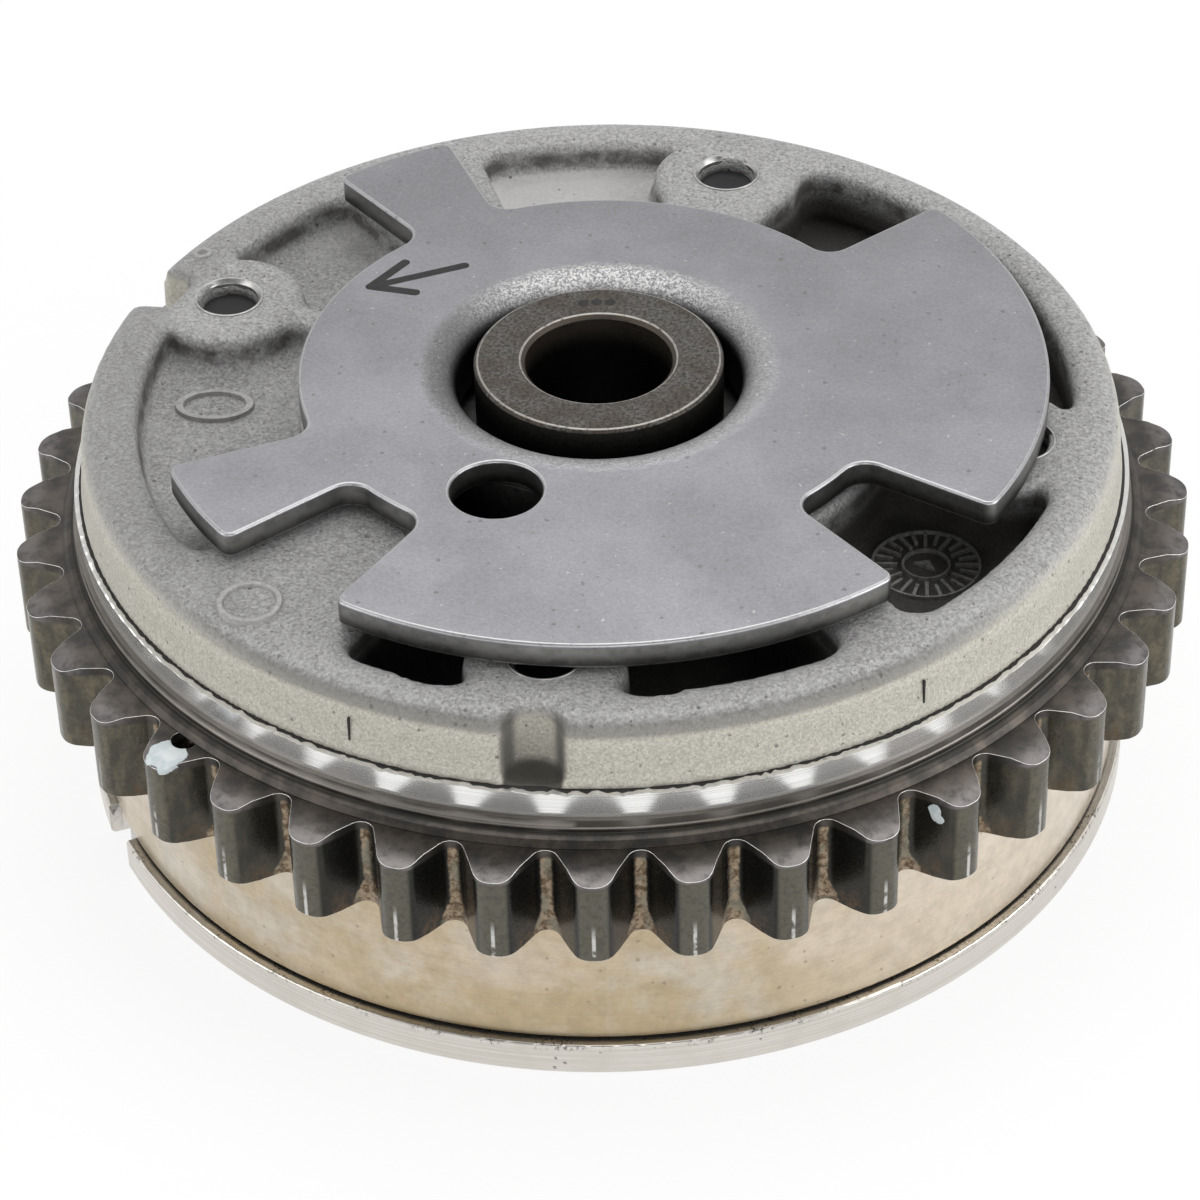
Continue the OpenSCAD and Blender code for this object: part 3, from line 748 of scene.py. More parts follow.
@dataclass(frozen=True)
class WheelFinish(Finish):
    """Satin stamped sheet: fine grain, dark specks, painted glints, bright rounded edges, a side
    that darkens downwards, and a sandy drawn mouth with painted glints, shade and sheen.
    """

    name: str = "wheel_steel"
    body: RGB = (0.345, 0.342, 0.362)
    deep: RGB = (0.215, 0.213, 0.224)
    bright: RGB = (0.55, 0.545, 0.55)
    shear: RGB = (0.30, 0.298, 0.285)
    torn_and_shade: RGB = (0.085, 0.083, 0.078)
    mouth: RGB = (0.45, 0.447, 0.452)
    mouth_dark: RGB = (0.22, 0.218, 0.222)
    gap: RGB = (0.012, 0.011, 0.010)
    pit: RGB = (0.13, 0.125, 0.12)
    sheen: RGB = (0.80, 0.79, 0.78)
    top: float = 41.2
    mouth_r: float = 15.6

    def dress(self, sh: Shader, shader: Node, fx: Effects) -> None:
        """Feeds the shader from grain, specks and the edge layer."""
        place = sh.millimetres()
        radius, angle, height = sh.polar(place)
        grain = sh.group(fx.grain, Place=place, Scale=3.6)
        cloud = sh.step(sh.noise(place, 0.08, 5.0, 0.62), 0.32, 0.7)
        color = sh.mix(sh.add(sh.mul(grain.outputs[0], 0.5), sh.mul(cloud, 0.45)), self.deep,
                       self.body)
        pits = sh.group(fx.specks, Place=place, Scale=0.9, Size=0.2, Share=0.36)
        color = sh.tint(color, self.pit, pits.outputs[0], 0.6)
        glints = sh.group(fx.specks, Place=sh.warp(place, 0.3, 3.0), Scale=1.2, Size=0.16,
                          Share=0.3)
        color = sh.tint(color, self.bright, glints.outputs[0], 0.6)
        below = sh.step(height, self.top - 0.25, self.top - 0.6)
        frayed = sh.add(radius, sh.mul(sh.noise(place, 1.2, 4.0, 0.7), 1.6))
        inside = sh.step(frayed, self.mouth_r + 1.9, self.mouth_r + 0.3)
        scuff = sh.step(sh.noise(place, 0.7, 4.0, 0.65), 0.38, 0.6)
        edge_line = sh.add(height, sh.mul(scuff, 0.35))
        # the wheel's side darkens towards its lower edge: torn fracture zone and painted shade
        cut = sh.mix(sh.step(edge_line, self.top - 2.0, self.top - 0.8), self.torn_and_shade, self.shear)
        cut = sh.tint(cut, self.torn_and_shade, scuff, 0.35)
        color = sh.tint(color, cut, below, sh.sub(1.0, inside))
        sand = sh.group(fx.grain, Place=place, Scale=4.4)
        mouth = sh.mix(sand.outputs[0], self.mouth_dark, self.mouth)
        # painted glints on the sand of the drawn mouth
        glint_specks = sh.group(fx.specks, Place=place, Scale=2.4, Size=0.36, Share=0.32)
        mouth = sh.tint(mouth, self.bright, glint_specks.outputs[0], 0.8)
        # painted shade: the mouth fades to near black deeper down
        mouth = sh.mix(sh.step(height, self.top - 0.8, self.top - 2.0), mouth, self.gap)
        # painted shade: the left side of the mouth is darker
        away = sh.step(sh.abs(angle), 110.0, 165.0)
        mouth = sh.tint(mouth, self.gap, away, 0.45)
        lit = sh.mul(sh.band(angle, 50.0, 130.0, 25.0),
                     sh.step(height, self.top - 1.6, self.top - 0.6))
        lit = sh.mul(lit, sh.step(sand.outputs[0], 0.35, 0.75))
        mouth = sh.tint(mouth, self.sheen, lit, 0.8)
        color = sh.mix(inside, color, mouth)
        worn = sh.group(fx.wear, Place=place, Edge=sh.attribute("edge"), Color=color,
                        Bright=self.bright, Amount=0.55, Broken=0.36)
        rough = sh.blend(inside, sh.blend(grain.outputs[0], 0.42, 0.36), 0.55)
        relief = sh.blend(inside, sh.mul(grain.outputs[1], 0.16), sh.mul(sand.outputs[1], 1.3))
        sh.feed(shader, worn.outputs[0], rough, sh.bump(relief, 0.6, 0.18))


@dataclass(frozen=True)
class OxideFinish(Finish):
    """Dark oxide on the sprocket, with bright edges, rubbed tips and stained roots, a painted
    highlight and a painted shade line on the hub step, painted highlight streaks on the front teeth
    and painted light on the side teeth.
    """

    name: str = "oxide_steel"
    metallic: float = 0.85
    dark: RGB = (0.048, 0.045, 0.042)
    brown: RGB = (0.100, 0.086, 0.073)
    face: RGB = (0.118, 0.113, 0.088)
    flank: RGB = (0.022, 0.022, 0.019)
    bead_highlight: RGB = (0.27, 0.25, 0.225)
    hub_r: float = 48.9
    hub_top: float = 28.9
    tip: RGB = (0.175, 0.163, 0.160)
    tan: RGB = (0.19, 0.162, 0.112)
    stain: RGB = (0.33, 0.255, 0.175)
    moss: RGB = (0.20, 0.195, 0.15)
    rust: RGB = (0.105, 0.068, 0.040)
    bright: RGB = (0.86, 0.85, 0.83)
    root_r: float = 50.0
    tip_r: float = 54.0
    teeth: int = 40
    top: float = 26.8
    foot: float = 17.8

    def dress(self, sh: Shader, shader: Node, fx: Effects) -> None:
        """Feeds the shader from radius, direction and the edge layer."""
        place = sh.millimetres()
        radius, angle, height = sh.polar(place)
        turn = sh.math("FRACT", sh.add(sh.math("DIVIDE", angle, 360.0 / self.teeth), 0.5))
        off = sh.abs(sh.sub(turn, 0.5))
        on_top = sh.step(height, self.top - 1.0, self.top - 0.6)
        under = sh.sub(1.0, on_top)
        blot = sh.step(sh.noise(place, 0.4, 5.0, 0.65), 0.38, 0.66)
        color = sh.mix(blot, self.dark, self.brown)
        pol = sh.mul(sh.step(radius, self.tip_r - 3.0, self.tip_r - 0.4), on_top)
        patch = sh.mul(pol, sh.step(sh.noise(place, 0.8, 5.0, 0.7), 0.22, 0.62))
        color = sh.mix(patch, color, self.tip)
        hub = sh.step(radius, self.hub_r + 0.15, self.hub_r - 0.05)
        # painted shade: a dark line low on the side of the hub step
        groove = sh.mul(hub, sh.band(height, self.hub_top - 1.5, self.hub_top - 1.05, 0.15))
        color = sh.tint(color, self.flank, groove, 0.8)
        # painted highlight: the upper part of the hub step's side is lighter
        bead_highlight = sh.mul(hub, sh.step(height, self.hub_top - 1.0, self.hub_top - 0.75))
        color = sh.tint(color, self.bead_highlight, bead_highlight, 0.55)
        wall = sh.mix(sh.step(radius, self.tip_r - 0.5, self.tip_r - 0.2), self.flank, self.face)
        aside = sh.abs(sh.add(angle, 90.0))
        runs = sh.noise(sh.vector(sh.mul(angle, 1.6), sh.mul(height, 0.3), 0.0), 1.0, 4.0)
        runs = sh.mul(sh.step(runs, 0.38, 0.70), sh.step(aside, 15.0, 70.0))
        # painted light: the walls of the teeth away from the front are lighter
        wall = sh.tint(wall, self.face, sh.step(aside, 15.0, 70.0), 0.7)
        wall = sh.tint(wall, self.tan, runs, 0.7)
        spot = sh.step(sh.noise(place, 1.9, 5.0, 0.7), 0.42, 0.66)
        wall = sh.tint(wall, self.dark, spot, 0.45)
        color = sh.tint(color, wall, under, sh.step(radius, self.root_r - 0.6, self.root_r - 0.2))
        color = self._root(sh, place, radius, height, off, under, color)
        # painted highlight: a bright streak down the middle of the front teeth
        highlight_streak = sh.mul(sh.step(off, 0.026, 0.010), sh.step(aside, 70.0, 35.0),
                        sh.mul(sh.step(height, self.foot + 4.4, self.foot + 2.4), under))
        highlight_streak = sh.mul(highlight_streak, sh.step(radius, self.tip_r - 0.5, self.tip_r - 0.2))
        highlight_streak = sh.mul(highlight_streak, sh.step(sh.noise(place, 0.9, 3.0), 0.36, 0.52))
        color = sh.tint(color, self.bright, highlight_streak, 0.6)
        worn = sh.group(fx.wear, Place=place, Edge=sh.attribute("edge"), Color=color,
                        Bright=self.bright, Amount=1.0, Broken=0.25)
        grain = sh.group(fx.grain, Place=place, Scale=3.4)
        rough = sh.blend(on_top, sh.blend(grain.outputs[0], 0.30, 0.20),
                         sh.blend(grain.outputs[0], 0.42, 0.32))
        sh.feed(shader, worn.outputs[0], rough, sh.bump(grain.outputs[1], 0.3, 0.06))

    def _root(self, sh: Shader, place: Socket, radius: Socket, height: Socket, off: Socket,
              under: Socket, color: Socket) -> Socket:
        """Stains the root between two teeth with a strip that widens at the foot.

        Args:
            sh: Tools of the material.
            place: Point in millimetres.
            radius: Distance from the axis.
            height: Height of the point.
            off: Distance from the middle of the tooth, 0.5 in the middle of the gap.
            under: Mask of all below the upper face.
            color: Colour so far.

        Returns:
            The stained colour.
        """
        flare = sh.mul(sh.step(height, self.foot + 2.8, self.foot + 0.2), 0.09)
        ragged = sh.mul(sh.sub(sh.noise(place, 1.1, 3.0), 0.5), 0.05)
        line = sh.add(sh.add(off, flare), ragged)
        strip = sh.mul(sh.step(line, 0.425, 0.447), under)
        strip = sh.mul(strip, sh.step(radius, self.root_r + 1.9, self.root_r + 1.2))
        spots = sh.step(sh.noise(place, 1.5, 5.0, 0.7), 0.40, 0.58)
        tint = sh.mix(spots, self.rust, self.stain)
        green = sh.step(sh.noise(place, 0.5, 3.0), 0.48, 0.62)
        tint = sh.tint(tint, self.moss, green, 0.7)
        color = sh.tint(color, tint, strip, 0.92)
        # darker towards the foot of the tooth walls, in rust-coloured spots
        low = sh.mul(sh.step(height, self.foot + 3.0, self.foot + 0.4), under)
        low = sh.mul(low, sh.band(radius, self.root_r + 1.0, self.tip_r - 1.2, 0.4))
        return sh.tint(color, self.rust, low, spots, 0.7)


@dataclass(frozen=True)
class TurnedFinish(Finish):
    """Turned steel: rings from the tool, a warm stain, small specks and a painted sheen towards +x.
    """

    name: str = "turned_drum"
    light: RGB = (0.62, 0.52, 0.39)
    warm: RGB = (0.51, 0.40, 0.235)
    cool: RGB = (0.65, 0.62, 0.55)
    pale: RGB = (0.90, 0.80, 0.67)
    fleck: RGB = (0.20, 0.16, 0.115)
    rust: RGB = (0.42, 0.25, 0.12)
    rough: float = 0.31
    ring_scale: float = 4.0
    ring_depth: float = 0.4
    flecks: float = 0.3
    oil: float = 0.7

    def dress(self, sh: Shader, shader: Node, fx: Effects) -> None:
        """Feeds the shader from stains, rings and specks."""
        place = sh.millimetres()
        radius, _, height = sh.polar(place)
        along = sh.sideways(place)
        flat = sh.stretch(place, 1.8, 0.0)
        low = sh.step(height, 13.0, 5.0)
        gold = sh.step(sh.add(sh.noise(flat, 0.06, 5.0, 0.7), sh.mul(low, 0.12)), 0.40, 0.64)
        pale = sh.step(sh.noise(sh.stretch(place, 1.0, 7.0), 0.10, 5.0, 0.64), 0.46, 0.66)
        rusty = sh.step(sh.noise(sh.stretch(place, 1.0, 19.0), 0.33, 5.0, 0.7), 0.56, 0.74)
        color = sh.mix(gold, self.light, self.warm)
        color = sh.tint(color, self.cool, pale, 0.6)
        color = sh.tint(color, self.rust, rusty, 0.35)
        # painted highlight: the drum turns pale towards +x
        color = sh.tint(color, self.pale, sh.step(along, 4.0, 36.0), 0.62)
        dots = sh.group(fx.specks, Place=place, Scale=0.9, Size=0.2, Share=self.flecks)
        color = sh.tint(color, self.fleck, dots.outputs[0], 0.5)
        rings = sh.group(fx.turning, Across=sh.add(height, radius), Along=along,
                         Scale=self.ring_scale)
        shade = sh.step(rings.outputs[0], 0.3, 0.7)
        color = sh.tint(color, self.fleck, shade, 0.10)
        mist = sh.step(sh.noise(place, 0.55, 6.0, 0.72), 0.36, 0.66)
        color = sh.tint(color, self.fleck, mist, 0.22)
        sh.feed(shader, color, sh.blend(shade, self.rough, self.rough + 0.08),
                sh.bump(rings.outputs[0], self.ring_depth, 0.03))
        shader.inputs["Coat Weight"].default_value = self.oil
        shader.inputs["Coat Roughness"].default_value = 0.16


@dataclass(frozen=True)
class RimFinish(Finish):
    """Silver-white turned rim with dark nicks along its upper edge."""

    name: str = "turned_plate"
    light: RGB = (0.76, 0.73, 0.68)
    grey: RGB = (0.58, 0.55, 0.50)
    nick: RGB = (0.10, 0.09, 0.08)
    top: float = 3.4

    def dress(self, sh: Shader, shader: Node, fx: Effects) -> None:
        """Feeds the shader from rings, nicks and specks."""
        place = sh.millimetres()
        radius, _, height = sh.polar(place)
        along = sh.sideways(place)
        rings = sh.group(fx.turning, Across=sh.add(height, radius), Along=along, Scale=5.0)
        color = sh.mix(sh.step(rings.outputs[0], 0.3, 0.7), self.light, self.grey)
        cloud = sh.step(sh.noise(sh.stretch(place, 1.0, 5.0), 0.22, 5.0, 0.65), 0.42, 0.7)
        color = sh.tint(color, self.grey, cloud, 0.45)
        chip = sh.step(sh.noise(place, 2.6, 4.0, 0.7), 0.54, 0.60)
        near = sh.step(height, self.top - 0.75, self.top - 0.25)
        rare = sh.step(sh.noise(sh.stretch(place, 0.0, 9.0), 0.35, 3.0), 0.42, 0.58)
        nicks = sh.mul(chip, near, rare)
        color = sh.tint(color, self.nick, nicks, 0.8)
        dots = sh.group(fx.specks, Place=place, Scale=1.0, Size=0.17, Share=0.22)
        color = sh.tint(color, self.nick, dots.outputs[0], 0.6)
        sh.feed(shader, color, sh.blend(rings.outputs[0], 0.28, 0.42),
                sh.bump(rings.outputs[0], 0.4, 0.03))


@dataclass(frozen=True)
class LandFinish(Finish):
    """Mirror-bright turned land."""

    name: str = "turned_land"
    metallic: float = 0.78
    light: RGB = (0.90, 0.895, 0.88)
    grey: RGB = (0.70, 0.695, 0.68)

    def dress(self, sh: Shader, shader: Node, fx: Effects) -> None:
        """Feeds the shader from the rings of the tool."""
        place = sh.millimetres()
        height = sh.polar(place)[2]
        rings = sh.group(fx.turning, Across=height, Along=sh.sideways(place), Scale=7.0)
        color = sh.mix(sh.step(rings.outputs[0], 0.35, 0.75), self.light, self.grey)
        sh.feed(shader, color, sh.blend(rings.outputs[0], 0.12, 0.26),
                sh.bump(rings.outputs[0], 0.25, 0.03))


@dataclass(frozen=True)
class NoseFinish(Finish):
    """Dark hardened nose with a mottled end, thin bright edges and a dark bore."""

    name: str = "dark_steel"
    metallic: float = 0.9
    dark: RGB = (0.040, 0.037, 0.033)
    brown: RGB = (0.098, 0.081, 0.064)
    grey: RGB = (0.135, 0.129, 0.120)
    bright: RGB = (0.62, 0.59, 0.55)
    bore: RGB = (0.012, 0.012, 0.011)
    lip: RGB = (0.085, 0.072, 0.058)
    side: RGB = (0.034, 0.033, 0.030)
    bore_r: float = 6.7
    top: float = 41.8

    def dress(self, sh: Shader, shader: Node, fx: Effects) -> None:
        """Feeds the shader from mottling, rings and the edge layer."""
        place = sh.millimetres()
        radius, angle, height = sh.polar(place)
        blot = sh.step(sh.noise(place, 2.8, 6.0, 0.8), 0.42, 0.60)
        wide = sh.step(sh.noise(place, 0.34, 4.0, 0.6), 0.42, 0.62)
        color = sh.mix(blot, self.dark, sh.mix(wide, self.grey, self.brown))
        rings = sh.group(fx.turning, Across=sh.add(radius, height),
                         Along=sh.mul(angle, 0.15), Scale=3.0)
        color = sh.tint(color, self.grey, sh.step(rings.outputs[0], 0.55, 0.8), 0.25)
        wall = sh.tint(self.side, self.dark, blot, 0.5)
        color = sh.mix(sh.step(height, self.top - 0.2, self.top - 0.45), color, wall)
        inside = sh.step(radius, self.bore_r + 0.45, self.bore_r + 0.3)
        lit = sh.mix(sh.step(height, self.top - 1.2, self.top - 3.5), self.lip, self.bore)
        color = sh.mix(inside, color, lit)
        worn = sh.group(fx.wear, Place=place, Edge=sh.attribute("edge"), Color=color,
                        Bright=self.bright, Amount=0.45, Broken=0.42)
        sh.feed(shader, worn.outputs[0], sh.blend(blot, 0.34, 0.46), sh.bump(blot, 0.25, 0.03))


@dataclass(frozen=True)
class PlainFinish(Finish):
    """One metal or moulding with a fine grain."""

    name: str = "plain"
    metallic: float = 1.0
    dark: RGB = (0.3, 0.3, 0.3)
    light: RGB = (0.4, 0.4, 0.4)
    rough: float = 0.4
    scale: float = 2.0
    depth: float = 0.3

    def dress(self, sh: Shader, shader: Node, fx: Effects) -> None:
        """Feeds the shader from the grain."""
        place = sh.millimetres()
        grain = sh.group(fx.grain, Place=place, Scale=self.scale)
        sh.feed(shader, sh.mix(grain.outputs[0], self.dark, self.light),
                sh.blend(grain.outputs[0], self.rough, self.rough + 0.1),
                sh.bump(grain.outputs[1], self.depth, 0.06))


BOLT = PlainFinish("dark_bolt", 0.3, (0.008, 0.0085, 0.010), (0.016, 0.0165, 0.019), 0.55, 2.4)
SINTER = PlainFinish("sinter_steel", 1.0, (0.095, 0.093, 0.090), (0.16, 0.157, 0.152), 0.44, 2.0)
HARD = PlainFinish("hard_steel", 1.0, (0.48, 0.48, 0.475), (0.64, 0.635, 0.62), 0.28, 1.5, 0.15)
SPRING = PlainFinish("spring_steel", 1.0, (0.50, 0.50, 0.49), (0.68, 0.675, 0.66), 0.25, 1.5, 0.1)
SEAL = PlainFinish("seal_plastic", 0.0, (0.030, 0.029, 0.028), (0.055, 0.053, 0.05), 0.55, 2.0)
PAINT = PlainFinish("mark_paint", 0.0, (0.47, 0.53, 0.55), (0.68, 0.72, 0.72), 0.35, 0.6, 0.2)
# dark fill for the drum groove, the seam and the slits: dirt and painted shade
DIRT_AND_SHADE = PlainFinish("dark_gap", 0.1, (0.012, 0.011, 0.010), (0.028, 0.026, 0.023), 0.7, 1.2)
RAISED = PlainFinish("cast_mark", 0.5, (0.25, 0.245, 0.24), (0.40, 0.395, 0.385), 0.5, 2.4)
SOOT = PlainFinish("pocket_mark", 0.4, (0.16, 0.157, 0.148), (0.36, 0.355, 0.34), 0.4, 2.4)
BARE = PlainFinish("bare_hole", 0.95, (0.38, 0.375, 0.365), (0.54, 0.535, 0.52), 0.28, 1.6, 0.1)
STAMP = PlainFinish("stamped_mark", 0.5, (0.012, 0.012, 0.012), (0.035, 0.034, 0.033), 0.55, 2.0)


# Sub-assemblies


@dataclass
class RearPlate:
    """Rear plate with its turned rim."""

    rim_r: float = 49.2
    rim_t: float = 3.4
    notch_a: float = 203.5
    notch_half: float = 3.2
    skin: float = 0.006

    def build(self, frame: dict, rim: Material) -> None:
        """Builds the plate and puts a finely stepped skin on its rim.

        Args:
            frame: The loaded frame.
            rim: Finish of the plate.
        """
        bm = cad_copy(frame, "rear_plate")
        r, s = self.rim_r, self.skin
        profile = rounded([(r - 1.2, 0.3), (r + s - 0.25, 0.02), (r + s, 0.4),
                           (r + s, self.rim_t + s),
                           (r - 1.2, self.rim_t + s)], [0, 0.2, 0.3, 0.35, 0])
        spin_ring(bm, profile, 300, self.notch_a + self.notch_half, 360 - 2 * self.notch_half)
        finish_piece(bm, "rear_plate_dressed", Body.HOUSING, rim, ["rear_plate"],
                     even=True)


@dataclass
class Stator:
    """Stator drum with the dark groove at its foot."""

    drum_r: float = 48.3
    foot_z: float = 3.75
    top_z: float = 17.8
    groove_r: float = 47.6
    skin: float = 0.006

    def build(self, frame: dict, drum: Material, dirt_and_shade: Material) -> None:
        """Builds the drum, its smooth turned wall and the dark ring in the groove, oil dirt with
        painted shade.

        Args:
            frame: The loaded frame.
            drum: Finish of the drum.
            dirt_and_shade: Finish of the groove.
        """
        bm = cad_copy(frame, "stator")
        r = self.drum_r + self.skin
        spin_ring(bm, rounded([(r - 1.0, self.foot_z), (r, self.foot_z), (r, self.top_z - 0.01),
                               (r - 1.0, self.top_z - 0.01)], [0, 0.12, 0, 0]), 300)
        finish_piece(bm, "stator_dressed", Body.HOUSING, drum, ["stator"], even=True)
        # dark ring in the groove: oil dirt and painted shade
        gap = bmesh.new()
        spin_ring(gap, [(self.groove_r - 0.3, 3.42), (self.groove_r + 0.03, 3.42),
                        (self.groove_r + 0.03, self.foot_z - 0.02),
                        (self.groove_r - 0.3, self.foot_z - 0.02)], 200)
        finish_piece(gap, "groove_dirt_and_shade", Body.HOUSING, dirt_and_shade)


@dataclass
class Sprocket:
    """Toothed ring with its hub step, timing hole and paint mark."""

    hub_r: float = 48.55
    ring_z: float = 26.8
    hub_z: float = 28.9
    tip_r: float = 54.0
    teeth_from: float = 49.2
    mark_a: float = 225.0
    smear_at: Triple = (52.0, -56.1, 25.0)

    def build(self, frame: dict, oxide: Material, paint: Material) -> None:
        """Builds the ring with worn edges, the rounded hub step and the paint.

        Args:
            frame: The loaded frame.
            oxide: Finish of the ring.
            paint: Finish of the paint mark.
        """
        bm = cad_copy(frame, "sprocket")

        def toothed(edge: BMEdge) -> bool:
            """Tells whether an edge is on the outline of the teeth."""
            return all(math.hypot(v.co.x, v.co.y) > self.teeth_from for v in edge.verts)

        bevel_sharp(bm, 0.19, 2, 40.0, toothed)
        r, z0, z1 = self.hub_r + 0.006, self.ring_z, self.hub_z
        step = rounded([(r - 2.0, z0 + 0.004), (r + 1.3, z0 + 0.004), (r + 0.75, z0 + 0.55),
                        (r + 0.1, z0 + 0.8),
                        (r + 0.1, z1 - 0.75), (r - 0.3, z1 - 0.5), (r - 0.3, z1), (r - 2.0, z1)],
                       [0, 0.05, 0.3, 0.2, 0.3, 0.1, 0.15, 0], 4)
        spin_ring(bm, step, 300)
        self._paint(bm, paint)
        finish_piece(bm, "sprocket_dressed", Body.HOUSING, oxide, ["sprocket"],
                     even=True)

    def _paint(self, bm: BMesh, paint: Material) -> None:
        """Lays the paint dab beside the timing hole and a smear on another tooth.

        Args:
            bm: The ring that carries the paint.
            paint: Finish of the paint.
        """
        tree = BVHTree.FromBMesh(bm)
        dab = skin_patch(bm, polar(self.tip_r - 1.7, self.mark_a + 0.4, self.ring_z), 1.75, 0.07,
                         Vector((1.0, 1.0, 1.1)), 0.22)
        finish_piece(dab, "paint_mark", Body.HOUSING, paint, smooth=60)
        spot = tree.find_nearest(polar(*self.smear_at))[0]
        smear = skin_patch(bm, spot, 0.62, 0.05, Vector((1.0, 1.0, 1.5)), 0.7)
        finish_piece(smear, "paint_smear", Body.HOUSING, paint, smooth=60)


@dataclass
class FrontCover:
    """Cast front cover with its bright land, bolt holes, cast marks and date clock."""

    land_r: float = 48.2
    cast_r: float = 47.55
    foot_z: float = 28.9
    land_z: float = 31.3
    top_z: float = 38.2
    web_z: float = 31.5
    voxel: float = 0.5
    clock_at: Pair = (34.0, -31.5)
    clock_r: float = 4.9
    bolt_at: float = 38.4
    bolt_turns: tuple[float, ...] = (72.0, 156.0, 264.0, 348.0)
    bolt_r: float = 2.5
    pocket_z: float = 34.8
    slit_turns: tuple[float, ...] = (-115.4, -54.1)
    front_a: float = -96.0
    lean: float = 0.9
    lean_zone: Pair = (40.6, 46.4)
    lean_ease: Pair = (2.0, 2.2)
    notch_clear: float = 3.6
    soft_rounds: int = 8
    soft_zone: Pair = (28.0, 44.6)
    bolt_clear: float = 1.5
    ends_from: float = 37.0
    ends_off: Pair = (4.0, 16.0)
    oval_at: Pair = (-35.5, 2.5)
    ring_at: Pair = (42.6, 226.5)
    dot_at: Pair = (44.6, 149.0)
    slit_size: Triple = (0.5, 0.19, 2.4)
    slit_z: float = 34.2

    def build(self, frame: dict, cast: Material, land: Material,
              dirt_and_shade: Material, raised: Material, soot: Material, bare: Material) -> None:
        """Builds the casting, the turned land, the dark seam, the bolt holes and the marks.

        Args:
            frame: The loaded frame.
            cast: Finish of the casting.
            land: Finish of the turned land.
            dirt_and_shade: Finish of the seam above the land.
            raised: Finish of the raised marks.
            soot: Finish of the date clock.
            bare: Finish of the bolt holes.
        """
        bm = cast_remesh(cad_copy(frame, "front_cover"), self.voxel, 4)
        self._shape(bm)
        finish_piece(bm, "front_cover_dressed", Body.HOUSING, cast,
                     ["front_cover"], smooth=180)
        self._land(land, dirt_and_shade)
        self._clock(soot)
        self._holes(bare)
        self._marks(raised, dirt_and_shade)

    def _shape(self, bm: BMesh) -> None:
        """Undercuts the wall, leans the pockets' outer walls in and softens their edges.

        Args:
            bm: The casting.
        """
        bolts = [polar(self.bolt_at, turn).xy for turn in self.bolt_turns]
        (lean_low, lean_high), (ease_in, ease_out) = self.lean_zone, self.lean_ease
        (soft_low, soft_high), (ends_low, ends_high) = self.soft_zone, self.ends_off
        soft, ends = [], []
        for v in bm.verts:
            reach = v.co.xy.length
            limit = self.cast_r - (0.12 if v.co.z < self.land_z + 0.25 else 0.0)
            if v.co.z < self.land_z + 0.9:
                if reach > limit:
                    v.co.xy *= limit / reach
                continue
            angle = math.degrees(math.atan2(v.co.y, v.co.x))
            off = abs((angle - self.front_a + 180.0) % 360.0 - 180.0)
            share = max(0.0, min(1.0, (reach - lean_low) / ease_in, (lean_high - reach) / ease_out,
                                 (off - self.notch_clear) / ease_in))
            v.co.xy *= (reach - self.lean * share * share * (3 - 2 * share)) / reach
            to_bolt = min((v.co.xy - at).length for at in bolts)
            if soft_low < reach < soft_high and to_bolt > self.bolt_r + self.bolt_clear:
                soft.append(v)
                if reach > self.ends_from and ends_low < off < ends_high:
                    ends.append(v)
        for chosen, rounds in ((soft, self.soft_rounds), (ends, 3 * self.soft_rounds)):
            soften(bm, chosen, rounds)

    def _land(self, land: Material, dirt_and_shade: Material) -> None:
        """Spins the land with a ragged upper edge, and the seam above it."""
        bm = bmesh.new()
        r = self.land_r + 0.03
        ring = spin_ring(bm,
                         [(r - 1.6, self.foot_z + 0.01), (r - 0.1, self.foot_z + 0.01),
                          (r, self.land_z),
                              (r - 0.34, self.land_z + 0.05), (r - 1.6, self.land_z - 0.3)], 720)
        for v in ring:
            if v.co.z > self.land_z - 0.05:
                angle = math.atan2(v.co.y, v.co.x)
                wave = noise.fractal(Vector((math.cos(angle), math.sin(angle), 0.3)) * 48, 0.6,
                                     2.0, 4)
                ahead = max(0.0, math.cos(angle - math.radians(self.front_a)))
                v.co.z += ahead * max(-0.08, min(0.26, 0.2 * wave + 0.06))
        finish_piece(bm, "turned_land", Body.HOUSING, land, smooth=30)
        # dark ring in the crevice above the land: dirt and painted shade
        seam = bmesh.new()
        spin_ring(seam,
                  [(self.cast_r - 0.5, self.land_z - 0.3), (self.land_r - 0.36, self.land_z - 0.3),
                         (self.land_r - 0.36, self.land_z + 0.03),
                         (self.cast_r - 0.05, self.land_z + 0.14),
                         (self.cast_r - 0.5, self.land_z + 0.16)], 300)
        finish_piece(seam, "seam_dirt_and_shade", Body.HOUSING, dirt_and_shade)

